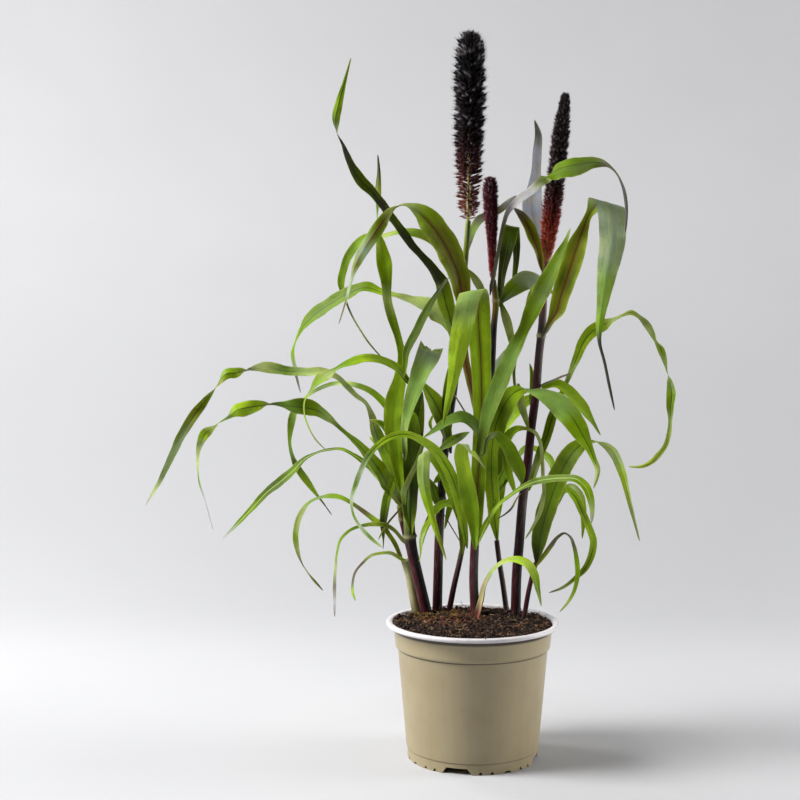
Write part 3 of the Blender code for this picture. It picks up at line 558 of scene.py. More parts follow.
pot_sand = plastic("pot_sand", linear(157, 144, 112), linear(138, 124, 92))
pot_white = plastic("pot_white", linear(213, 208, 211), linear(188, 182, 181))
finished("nursery_pot", pot_mesh, [pot_sand, pot_white], "pot", "pot")
print("finishes:", [m.name for m in bpy.data.materials])

# %% [markdown]
# ## The soil
# Potting mix is peat crumbs of very mixed sizes with roots and straw in it. The level surface under
# them is a round grid pushed up and down by noise, heaped a little round the shoots. The crumbs and
# fibres are thousands of small repeats, which is what Geometry Nodes are for: one tree scatters
# them over the surface with a fixed seed, and joins everything into one plain mesh.

# %% Run a shape tree
def shape_inputs(tree, sizes):
    """Named inputs of a shape tree, as the fields that its nodes read."""
    graph = Graph(tree)
    tree.interface.new_socket(name="Geometry", in_out="INPUT", socket_type="NodeSocketGeometry")
    for name, value in sizes.items():
        kind = "NodeSocketInt" if isinstance(value, int) else "NodeSocketFloat"
        tree.interface.new_socket(name=name, in_out="INPUT", socket_type=kind)
    tree.interface.new_socket(name="Geometry", in_out="OUTPUT", socket_type="NodeSocketGeometry")
    entry = tree.nodes.new("NodeGroupInput")
    fields = {name: Field(graph, entry.outputs[name]) for name in ["Geometry", *sizes]}
    return graph, fields


def end_tree(graph, geometry, look):
    """Make the instances real, give them their finish and end the tree."""
    real = graph.add("GeometryNodeRealizeInstances", None, {"Geometry": geometry})
    made = graph.add("GeometryNodeSetMaterial", None, {"Geometry": real, "Material": look})
    graph.add("NodeGroupOutput", None, {"Geometry": made}, out=None)


def run_tree(tree, base, sizes):
    """The plain mesh that a tree makes from a base mesh and the values of its named inputs."""
    holder = bpy.data.objects.new(tree.name, base)
    bpy.context.scene.collection.objects.link(holder)
    modifier = holder.modifiers.new("Shape", "NODES")
    modifier.node_group = tree
    for item in tree.interface.items_tree:
        if item.in_out == "INPUT" and item.name in sizes:
            modifier[item.identifier] = sizes[item.name]
    bpy.context.view_layer.update()
    mesh = bpy.data.meshes.new_from_object(holder.evaluated_get(bpy.context.evaluated_depsgraph_get()))
    bpy.data.objects.remove(holder)
    mesh.name = tree.name
    return mesh


def chance(graph, low, high, seed, kind="FLOAT"):
    """A random value between two, another for each point."""
    first, out = (0, 0) if kind == "FLOAT_VECTOR" else (2, 1)
    return graph.add("FunctionNodeRandomValue", {"data_type": kind},
                     {first: low, first + 1: high, "Seed": seed}, out=out)


def facing(graph, direction):
    """A rotation that takes up to a direction."""
    return graph.add("FunctionNodeAlignRotationToVector", {"axis": "Z"}, {"Vector": direction})


def keep(graph, geometry, name, value, domain):
    """Write a value on the geometry for the finish to read."""
    return graph.add("GeometryNodeStoreNamedAttribute", {"data_type": "FLOAT", "domain": domain},
                     {"Geometry": geometry, "Name": name, "Value": value})


print("tree helpers ready")


# %% [markdown]
# The body of the soil is turned like the pot: up the wall, then in over the heap. Its top is pushed
# about by noise of two sizes, and it has sunk a little at the back, where the inner wall shows.

# %% Soil surface
SOIL_HEAP = 0.1545
SOIL_EDGE = 0.1467
SOIL_RADIUS = 0.0868
HEAP_RADIUS = 0.030
HEAP_FALL = 1.6
SOIL_WALL = [(0.0, FLOOR_TOP + 0.0003), (0.0668, FLOOR_TOP + 0.0003), (0.0688, 0.0135), (0.0796, 0.1193),
             (0.0836, 0.1265), (0.0843, 0.1425), (0.0846, 0.1456)]
SOIL_RINGS = 46
SOIL_SIDES = 128
LEVEL = 0.0001
# Noise scale and height of the lumps.
LUMPS = [(85.0, 0.0030), (240.0, 0.0014)]
BACK_DIP = 0.0030
DIP_FROM = 0.030
DIP_TO = 0.078
DIP_NARROWS = 0.03


def soil_height(radius):
    """Level of the soil: a low heap round the shoots that sinks to the wall."""
    fall = max(0.0, (radius - HEAP_RADIUS) / (SOIL_RADIUS - HEAP_RADIUS))
    return SOIL_HEAP - (SOIL_HEAP - SOIL_EDGE) * fall ** HEAP_FALL


soil_profile = list(SOIL_WALL)
for i in range(SOIL_RINGS):
    radius = SOIL_RADIUS * (1.0 - i / SOIL_RINGS)
    soil_profile.append((radius, soil_height(radius)))
soil_profile.append((0.0, SOIL_HEAP))
soil_base = turned_mesh("soil_surface", soil_profile, even_angles(SOIL_SIDES))
wall_radius, wall_top = SOIL_WALL[-1]
for vertex in soil_base.vertices:
    on_wall = vertex.co.z < wall_top - LEVEL
    backwards = 0.0 if on_wall else min(1.0, max(0.0, (vertex.co.y - DIP_FROM) / (DIP_TO - DIP_FROM)))
    if vertex.co.z > SOIL_EDGE + LEVEL:
        vertex.co.z += sum(noise.noise(vertex.co * scale) * height for scale, height in LUMPS)
    vertex.co.z -= BACK_DIP * backwards
    if vertex.co.xy.length > wall_radius:
        vertex.co.xy *= 1.0 - DIP_NARROWS * backwards
print("soil surface:", len(soil_base.polygons), "faces")

# %% [markdown]
# Both kinds of repeat go the same way: points are scattered over the top of the soil, each carries
# one crumb or one fibre of a random size, and noise then pushes the real points about, which makes
# every crumb ragged and bends every fibre.

# %% Soil tree
SOIL_SIZES = {"Crumbs": 150000.0, "Crumb Size": 0.0058, "Fibres": 19000.0, "Fibre Length": 0.0125,
              "Least Crumb": 0.0006, "Top Above": 0.1500, "Top Tilt": 0.010, "Seed": 4}
ANY_TURN = (math.tau, math.tau, math.tau)
# Least and most of a crumb's proportions and of a fibre's direction.
CRUMB_SHAPE = ((0.6, 0.6, 0.4), (1.3, 1.0, 0.9))
FIBRE_LIE = ((-1.0, -1.0, -0.12), (1.0, 1.0, 0.28))
FEW_LARGE = 2.6
FEW_LONG = 2.0
# Noise that makes crumbs ragged and bends fibres: scale, detail, reach and start in metres.
RAGGED_CRUMBS = (900.0, 1.0, (0.0011, 0.0011, 0.0011), (-0.00055, -0.00055, -0.00035))
BENT_FIBRES = (170.0, 0.0, (0.009, 0.009, 0.004), (-0.0045, -0.0045, -0.0008))


def scattered(graph, given, on_top, density, seed):
    """Points at random on the top of the soil, so many to the square metre."""
    return graph.add("GeometryNodeDistributePointsOnFaces", None,
                     {"Mesh": given["Geometry"], "Selection": on_top, "Density": density, "Seed": seed})


def pushed(graph, geometry, scale, detail, reach, start):
    """Instances made real, with their points moved by noise: its colour times reach, plus start."""
    real = graph.add("GeometryNodeRealizeInstances", None, {"Geometry": geometry})
    where = graph.add("GeometryNodeInputPosition")
    swirl = graph.add("ShaderNodeTexNoise", None, {"Vector": where, "Scale": scale, "Detail": detail}, out=1)
    push = graph.add("ShaderNodeVectorMath", {"operation": "MULTIPLY_ADD"}, {0: swirl, 1: reach, 2: start})
    return graph.add("GeometryNodeSetPosition", None, {"Geometry": real, "Offset": push})


def soil_tree(look):
    tree = bpy.data.node_groups.new("potting_mix", "GeometryNodeTree")
    graph, given = shape_inputs(tree, SOIL_SIZES)
    seed = given["Seed"]
    upright = graph.axes(graph.add("GeometryNodeInputNormal"))[2]
    height = graph.axes(graph.add("GeometryNodeInputPosition"))[2]
    on_top = graph.add("FunctionNodeCompare", {"data_type": "FLOAT", "operation": "GREATER_THAN"},
                       {"A": height + upright * given["Top Tilt"], "B": given["Top Above"]})

    crumb = graph.add("GeometryNodeMeshIcoSphere", None, {"Radius": 0.5, "Subdivisions": 1})
    share = chance(graph, 0.25, 1.0, seed + 1.0)
    shape = chance(graph, *CRUMB_SHAPE, seed + 2.0, "FLOAT_VECTOR")
    size = graph.scaled(shape, share ** FEW_LARGE * given["Crumb Size"] + given["Least Crumb"])
    turn = chance(graph, (0.0, 0.0, 0.0), ANY_TURN, seed + 3.0, "FLOAT_VECTOR")
    crumbs = graph.add("GeometryNodeInstanceOnPoints", None,
                       {"Points": scattered(graph, given, on_top, given["Crumbs"], seed),
                        "Instance": crumb, "Rotation": turn, "Scale": size})
    crumbs = keep(graph, crumbs, "shade", chance(graph, 0.0, 1.0, seed + 4.0), "INSTANCE")
    crumbs = pushed(graph, crumbs, *RAGGED_CRUMBS)

    strand = graph.add("GeometryNodeMeshCone", {"fill_type": "NONE"},
                       {"Vertices": 3, "Side Segments": 5, "Radius Top": 0.010, "Radius Bottom": 0.035,
                        "Depth": 1.0})
    lie = chance(graph, *FIBRE_LIE, seed + 6.0, "FLOAT_VECTOR")
    thick = given["Fibre Length"]
    long = chance(graph, 0.25, 1.0, seed + 7.0) ** FEW_LONG * given["Fibre Length"]
    strands = graph.add("GeometryNodeInstanceOnPoints", None,
                        {"Points": scattered(graph, given, on_top, given["Fibres"], seed + 5.0),
                         "Instance": strand, "Rotation": facing(graph, lie),
                         "Scale": graph.vector(thick, thick, long)})
    strands = keep(graph, strands, "straw", chance(graph, 0.15, 1.0, seed + 8.0), "INSTANCE")
    strands = pushed(graph, strands, *BENT_FIBRES)
    joined = graph.add("GeometryNodeJoinGeometry", None, {"Geometry": [given["Geometry"], crumbs, strands]})
    end_tree(graph, joined, look)
    return tree


# %% [markdown]
# Wet peat is nearly black, dry peat is brown, and in this pot a rusty patch of coir and a little
# moss show left of the middle. So the colour starts from a random shade for each crumb, and two
# soft round masks add the rust and the moss where they lie.

# %% Soil finish
PEAT = [(0.15, linear(16, 11, 10)), (0.45, linear(33, 21, 18)), (0.75, linear(60, 40, 31)),
        (0.95, linear(108, 80, 58))]
# Colour of each patch, its middle and reach, and how strongly it shows.
PATCHES = [(linear(112, 64, 38), (-0.022, -0.012, 0.152), 0.044, 0.20, 0.60),
           (linear(120, 92, 36), (-0.040, 0.010, 0.152), 0.036, 0.25, 0.65)]
STRAW = linear(176, 146, 104)
RAGGED = 0.030

soil_look, graph, shader = new_look("peat", 0.95)
where = graph.place()
shade = graph.attribute("shade") * 0.7 + graph.grain(where, 300.0, 4.0) * 0.5
peat = graph.add("ShaderNodeValToRGB", {"stops": PEAT}, {"Fac": shade})
edge = (graph.grain(where, 160.0, 3.0) - 0.5) * RAGGED
for colour, middle, reach, shows_from, share in PATCHES:
    away = graph.add("ShaderNodeVectorMath", {"operation": "DISTANCE"}, {0: where, 1: middle}, out=1)
    patch = 1.0 - (away + edge).fade(reach * 0.45, reach)
    peat = graph.blend(peat, colour, patch * shade.fade(shows_from, 0.8) * share)
peat = graph.blend(peat, STRAW, graph.attribute("straw") ** 2.0 * 0.9)
feed(graph, shader, "Base Color", peat)
shader.inputs["Specular IOR Level"].default_value = 0.25
roughen(graph, shader, graph.grain(where, 700.0, 4.0), 0.5, 0.0008)

soil_mesh = run_tree(soil_tree(soil_look), soil_base, SOIL_SIZES)
soil_mesh.shade_flat()
finished("potting_mix", soil_mesh, [soil_look], "soil", "soil")
print("soil:", triangles(soil_mesh), "triangles")

# %% [markdown]
# ## Leaf and stem colours
# A grass blade changes its tone along its length: one face is yellow-green with a dark rib, the
# other is pale and greyish, and a fold or a twist swaps them. The colours are named once, one letter
# each, and every blade then lists one letter for each of its points, as the photograph's light shows
# it, so the letters hold painted light and shade as well as the blade's own colour: brighter where
# it is lit or lit through, darker where it lies in shade. The hidden face of the blade gets the
# partner tone, so that the plant is right from behind too.

# %% Palette
# Each tone is a leaf or stem colour with painted light or shade in it, from bright lit letters to dark shaded
# ones.
TONES_AND_LIGHT = {
    "l": (149, 189, 31), "h": (130, 163, 30), "g": (102, 133, 5), "m": (80, 107, 4),
    "d": (56, 76, 7), "k": (33, 41, 11), "o": (97, 107, 23), "y": (157, 180, 67),
    "p": (154, 176, 104), "s": (132, 147, 88), "v": (144, 173, 92), "j": (116, 149, 69),
    "w": (137, 137, 144), "e": (78, 78, 67), "t": (90, 80, 67), "b": (66, 42, 23),
    "q": (120, 137, 109), "u": (111, 78, 19), "x": (47, 47, 50), "c": (86, 116, 40),
    "a": (156, 192, 45), "f": (111, 146, 26),
    "r": (119, 66, 62), "R": (68, 20, 27), "K": (24, 17, 19), "B": (44, 18, 24),
    "G": (84, 76, 71), "O": (95, 86, 46), "P": (167, 160, 121), "N": (101, 122, 50),
    "M": (94, 60, 64), "W": (206, 211, 238), "z": (152, 170, 142),
}
OTHER_FACE = {"l": "v", "h": "v", "g": "j", "m": "j", "d": "s", "o": "s", "k": "e", "y": "p", "p": "h",
              "s": "g", "v": "h", "j": "g", "w": "m", "e": "d", "t": "o", "b": "t", "r": "t", "q": "m",
              "u": "t", "W": "e", "P": "p", "z": "m", "x": "k", "c": "s", "a": "v", "f": "j"}
RIB_SHOWS = "lhgmdokyuc"
RIB_TONES = {"dark": (34, 30, 16), "maroon": (48, 26, 20), "pale": (150, 170, 92), "none": (96, 110, 50)}


def tone(letter):
    return np.array(linear(*TONES_AND_LIGHT[letter])[:3])


print("tones:", len(TONES_AND_LIGHT))

# %% [markdown]
# ## Smooth paths
# Each shoot and blade is known by a few points: how far across and how high it is seen from the
# front, in millimetres, and how far in front or behind it really hangs. A point is carried along
# the line of sight to its depth, so the front view stays true. A smooth curve is then drawn
# through the points, with the same formula for width, turn and colour.

# %% Path helpers
def seen_at(across, up, depth):
    """The point seen at (across, up) on the upright plane, carried to its depth; millimetres in."""
    on_plane = Vector((across * MM, 0.0, up * MM))
    reach = (depth * MM - EYE.y) / (0.0 - EYE.y)
    return EYE + (on_plane - EYE) * reach


def smooth_through(places, values, where):
    """Values on a smooth curve through the given ones; places and where are lengths along it."""
    places = np.asarray(places, float)
    values = np.asarray(values, float)
    slopes = np.gradient(values, places, axis=0)
    index = np.clip(np.searchsorted(places, where, side="right") - 1, 0, len(places) - 2)
    step = places[index + 1] - places[index]
    share = (where - places[index]) / step
    if values.ndim > 1:
        step = step[:, None]
        share = share[:, None]
    cubed = share ** 3
    squared = share ** 2
    curve = (2 * cubed - 3 * squared + 1) * values[index]
    curve += (cubed - 2 * squared + share) * step * slopes[index]
    curve += (3 * squared - 2 * cubed) * values[index + 1]
    curve += (cubed - squared) * step * slopes[index + 1]
    return curve


def straight_through(places, values, where):
    """The same on straight lines, for colours, which must not swing past the given ones."""
    values = np.asarray(values, float)
    return np.stack([np.interp(where, places, values[:, i]) for i in range(values.shape[1])], axis=1)


def lengths_along(points):
    points = np.asarray(points, float)
    steps = np.linalg.norm(np.diff(points, axis=0), axis=1)
    return np.concatenate([[0.0], np.cumsum(steps)])


def unit(vectors):
    return vectors / np.maximum(np.linalg.norm(vectors, axis=-1, keepdims=True), 1e-12)


def mark(mesh, name, kind, values):
    """Write a value, vector or colour for each point, for the finish to read."""
    field = {"FLOAT": "value", "FLOAT_VECTOR": "vector", "FLOAT_COLOR": "color"}[kind]
    mesh.attributes.new(name, kind, "POINT").data.foreach_set(field, np.asarray(values, float).ravel())


def ringed_mesh(name, parts):
    """A mesh of closed tubes. Each has its rings of points, and for each point the tone, the place
    across and along the leaf, and how far the rib shows there."""
    points, faces, tones, leaf, ribbed = [], [], [], [], []
    first = 0
    for rings, part_tones, part_leaf, part_ribbed in parts:
        count, around = rings.shape[:2]
        index = first + np.arange(count * around).reshape(count, around)
        following = np.roll(index, -1, axis=1)
        quads = np.stack([index[:-1], following[:-1], following[1:], index[1:]], axis=-1)
        faces += quads.reshape(-1, 4).tolist()
        faces += [index[0][::-1].tolist(), index[-1].tolist()]
        points.append(rings.reshape(-1, 3))
        tones.append(part_tones.reshape(-1, 3))
        leaf.append(part_leaf.reshape(-1, 3))
        ribbed.append(part_ribbed.reshape(-1))
        first += count * around
    mesh = bpy.data.meshes.new(name)
    mesh.from_pydata(np.concatenate(points).tolist(), [], faces)
    mark(mesh, "tone", "FLOAT_COLOR", np.concatenate([np.concatenate(tones), np.ones((first, 1))], axis=1))
    mark(mesh, "leaf", "FLOAT_VECTOR", np.concatenate(leaf))
    mark(mesh, "ribbed", "FLOAT", np.concatenate(ribbed))
    mesh.shade_smooth()
    return mesh


print("seen 0.5 m up, 50 mm in front:", [round(v, 4) for v in seen_at(0, 500, -50)])

# %% [markdown]
# ## The shoots
# A millet shoot is a stack of leaf sheaths, each wrapped round the next, with a swollen ring where
# a sheath starts. Low down the sheaths are burgundy with a chalky bloom in streaks, and their tones
# are painted: lit on the left and nearly black in painted shade on the right. A tube swept along
# the path with a bump at each ring is enough.

# %% Shoot points
# Radius at the soil and at the top, letters for the lit left and the shaded right side, which carry
# painted light and shade, then points from the soil upwards and the heights of the rings.
SHOOTS = {
    "stem_left_sheath": (6.8, 5.2, "OPPO", "OOss", [
        (-60, 157, 30), (-65, 180, 30), (-69, 200, 30), (-74, 216, 29)], []),
    "stem_left": (6.2, 6.0, "RRRBNNNN", "KKKKdddd", [
        (-50, 155, 18), (-56, 180, 17), (-62, 205, 15), (-68, 235, 13), (-70, 262, 12),
        (-69, 300, 11), (-68, 335, 10), (-68, 364, 9)], [242]),
    "stem_left_rear": (4.0, 3.8, "RRRRo", "KKRRo", [
        (-49, 158, 48), (-60, 195, 48), (-70, 230, 46), (-77, 259, 45), (-80, 276, 44)], [261]),
    "stem_tall": (5.6, 3.0, "RRRKKKKKKKos", "KKGKKKKKKKod", [
        (-39, 158, 36), (-38, 200, 35), (-37, 240, 34), (-35, 282, 33), (-32, 325, 31),
        (-27, 365, 29), (-21, 405, 26), (-17, 440, 23), (-13, 480, 20), (-11, 520, 16),
        (-8, 556, 13), (-6, 586, 11)], [284, 470]),
    "stem_slender": (3.4, 2.8, "RRMo", "KKBo", [
        (-26, 159, 24), (-21, 185, 21), (-15, 212, 17), (-10, 236, 14)], []),
    "stem_red": (5.2, 3.2, "RRRRBKKKuM", "GGGGGKKKok", [
        (3, 158, 8), (1, 190, 7), (2, 230, 6), (5, 280, 5), (9, 330, 4), (14, 380, 2), (20, 430, 0),
        (22, 470, -1), (24, 502, -2), (21, 522, -3)], [500]),
    "stem_thin_right": (3.1, 2.8, "BBBB", "GGGB", [
        (37, 161, 36), (33, 190, 34), (29, 215, 31), (26, 238, 28)], []),
    "stem_right": (5.6, 4.0, "RRBBRBRBKMM", "KKKGBBBGGMM", [
        (47, 157, 12), (48, 200, 13), (51, 240, 13), (54, 280, 12), (59, 320, 11), (63, 360, 10),
        (68, 400, 8), (71, 440, 6), (74, 470, 4), (76, 510, 3), (78, 541, 2)], [462]),
    "stem_low_right": (2.8, 2.5, "RRRR", "KKBB", [
        (57, 158, 4), (61, 182, 3), (65, 200, 3), (69, 214, 2)], []),
}
print("shoots:", len(SHOOTS), "points:", sum(len(shoot[4]) for shoot in SHOOTS.values()))

# %% [markdown]
# Round the middle line stands a circle of points every two millimetres. Its radius tapers, swells
# at a ring and ripples a little, as overlapping sheaths do. The tone fades from the lit left side's
# to the shaded right side's round the front: painted light and shade.

# %% Shoot meshes
SHOOT_SIDES = 24
SHOOT_STEP = 2.0 * MM
# How far below the soil a shoot starts, in millimetres.
ROOTED = 9.0
# A ring: how much it swells and half its height, then the same of the thicker part round it.
RING = (0.24, 1.7)
JOINT = (0.05, 9.0)
RING_PALE = 0.6
SHEATH_RIDGES = 9
RIDGE_HEIGHT = 0.012
SIDE_CONTRAST = 1.4
CM_PER_METRE = 100.0


def near(heights, middle, half):
    """1 at the middle, falling like a bell to 0 over a few times the half height."""
    return np.exp(-((heights - middle) / half) ** 2)


def shoot_part(first_radius, last_radius, left, right, points, nodes):
    """A tube through the points that starts a little below the soil."""
    low, second = points[:2]
    slope = [(b - a) / (second[1] - low[1]) for a, b in zip(low, second)]
    started = [tuple(a - ROOTED * s for a, s in zip(low, slope))] + points
    centres = np.array([seen_at(*point) for point in started])
    along = lengths_along(centres)
    where = np.linspace(0.0, along[-1], int(along[-1] / SHOOT_STEP) + 2)
    middle = smooth_through(along, centres, where)
    heights = np.interp(where, along, [p[1] for p in started])
    forward = unit(np.gradient(middle, axis=0))
    side = unit(np.cross(forward, [0.0, 1.0, 0.0]))
    front = np.cross(forward, side)
    radius = np.interp(where, [0.0, along[-1]], [first_radius, last_radius]) * MM
    ring_share = np.zeros(len(where))
    for node in nodes:
        ring_share = np.maximum(ring_share, near(heights, node, RING[1]))
        radius *= 1.0 + JOINT[0] * near(heights, node, JOINT[1])
    radius *= 1.0 + RING[0] * ring_share
    angle = np.linspace(0.0, math.tau, SHOOT_SIDES, endpoint=False)
    ripple = 1.0 + RIDGE_HEIGHT * np.cos(SHEATH_RIDGES * angle)
    spokes = side[:, None] * np.cos(angle)[:, None] + front[:, None] * np.sin(angle)[:, None]
    rings = middle[:, None] + spokes * (radius[:, None] * ripple)[..., None]
    # Painted light and shade: the left letters give the lit side, the right letters the shaded side.
    lit_left_tones, shaded_right_tones = [
        straight_through(along, [tone(c) for c in letters[0] + letters], where)[:, None]
        for letters in (left, right)]
    rightness = 0.5 + SIDE_CONTRAST * np.sign(side[0, 0]) * np.cos(angle)
    toward_right = np.clip(rightness, 0.0, 1.0)[None, :, None]
    tones = lit_left_tones * (1.0 - toward_right) + shaded_right_tones * toward_right
    pale_ring = (RING_PALE * ring_share)[:, None, None]
    tones = tones * (1.0 - pale_ring) + tone("P") * pale_ring
    leaf = np.zeros((len(where), SHOOT_SIDES, 3))
    leaf[..., 0] = np.abs(angle - math.pi) / math.pi * 2.0 - 1.0
    leaf[..., 1] = where[:, None] * CM_PER_METRE
    leaf[..., 2] = radius[:, None] / MM * 2.0
    return rings, tones, leaf, np.zeros((len(where), SHOOT_SIDES))


# %% [markdown]
# Leaf and stem are drawn out along their length: veins, pale lines, chalk and blush are all noise
# that is fine across and slow along. One function makes both finishes. On a leaf it adds the rib,
# the paler margin and some light through the thin blade.

# %% Leaf and stem finish
THROUGH_LIGHT = 0.15
THROUGH_COLOUR = (1.0, 1.0, 0.35)
THROUGH_DEPTH = 0.002
WARM = (1.09, 1.0, 0.84, 1.0)
BLUSH = linear(104, 54, 18)
BLUSH_EDGE = linear(122, 150, 22)
VEIN = (0.55, 0.60, 0.50, 1.0)
PALE_LINE = (1.35, 1.30, 1.5, 1.0)
MARGIN = linear(150, 150, 84)
SPECK = linear(70, 58, 30)
CHALK = linear(150, 138, 140)
LEAF_CLOUD_SCALE = 46.0
LEAF_SPECK_SCALE = 420.0
# Half the width in millimetres that the rib covers in full and that it fades out over, and the
# same of the blush beside it.
RIB_FADES = (0.22, 0.62)
BLUSH_FADES = (0.8, 4.6)


def streaked(name, roughness, veins, contrast, chalk_share, rib_tone=None, blush_share=0.0):
    """Fine lines along a leaf or stem over its own tones, with a rib, pale margins and specks."""
    look, graph, shader = new_look(name, roughness)
    across, along, half_width = graph.axes(graph.attribute("leaf", "Vector"))
    ribbed = graph.attribute("ribbed")
    off_rib = across * half_width
    where = graph.place()

    def drawn_out(across_scale, along_scale, layer, detail, uneven=0.55):
        """Noise that is fine across and slow along; each layer is another pattern."""
        spot = graph.vector(off_rib * across_scale, along * along_scale, layer)
        return graph.grain(spot, 1.0, detail, uneven)

    lines = drawn_out(veins, 0.12, half_width * 0.2, 2.0)
    fine = drawn_out(veins * 2.7, 0.3, 4.0, 1.0)
    broad = drawn_out(0.55, 0.8, 7.0, 3.0, 0.6)
    cloud = graph.grain(where, LEAF_CLOUD_SCALE, 4.0, 0.62)
    streaks = lines * 0.35 + fine * 0.2 + broad * 0.45
    shade = (1.0 - contrast + contrast * 2.0 * streaks) * (0.72 + 0.56 * cloud)
    painted = graph.scaled(graph.attribute("tone", "Color"), shade)
    if rib_tone:
        shader.inputs["Subsurface Weight"].default_value = THROUGH_LIGHT
        shader.inputs["Subsurface Radius"].default_value = THROUGH_COLOUR
        shader.inputs["Subsurface Scale"].default_value = THROUGH_DEPTH
        painted = graph.blend(painted, WARM, drawn_out(0.12, 0.4, 2.0, 3.0).fade(0.42, 0.62), "MULTIPLY")
        blush = (1.0 - abs(off_rib).fade(*BLUSH_FADES)) * ribbed * (0.4 + cloud)
        painted = graph.blend(painted, BLUSH, blush * blush_share)
        painted = graph.blend(painted, BLUSH_EDGE, abs(across).fade(0.5, 0.9) * ribbed * blush_share)
        rib = (1.0 - abs(off_rib).fade(*RIB_FADES)) * ribbed
        painted = graph.blend(painted, rib_tone, rib * 0.85)
        vein = drawn_out(1.1, 0.5, 11.0, 2.0).fade(0.60, 0.70)
        painted = graph.blend(painted, VEIN, vein * 0.7, "MULTIPLY")
        pale_line = drawn_out(1.1, 0.35, 17.0, 2.0).fade(0.60, 0.72)
        painted = graph.blend(painted, PALE_LINE, pale_line * 0.7, "MULTIPLY")
        painted = graph.blend(painted, MARGIN, abs(across).fade(0.90, 0.985) * 0.30)
    speck = graph.grain(where, LEAF_SPECK_SCALE, 2.0).fade(0.68, 0.74)
    painted = graph.blend(painted, SPECK, speck * 0.6)
    chalk = drawn_out(0.8, 0.5, 9.0, 3.0).fade(0.5, 0.8)
    painted = graph.blend(painted, CHALK, chalk * chalk_share)
    feed(graph, shader, "Base Color", painted)
    feed(graph, shader, "Roughness", roughness - 0.08 + 0.2 * lines)
    shader.inputs["Specular IOR Level"].default_value = 0.12
    roughen(graph, shader, streaks + cloud * 1.5, 0.5, 0.0008)
    return look


stem_look = streaked("stem_burgundy", 0.42, 1.1, 0.50, 0.36)
for name, shoot in SHOOTS.items():
    mesh = ringed_mesh("shoot_" + name[5:], [shoot_part(*shoot)])
    slot = "sheath" if name == "stem_left_sheath" else "stem"
    finished("shoot_" + name[5:], mesh, [stem_look], slot, name)
print("shoot meshes:", len(SHOOTS), "with rings of", SHOOT_SIDES)
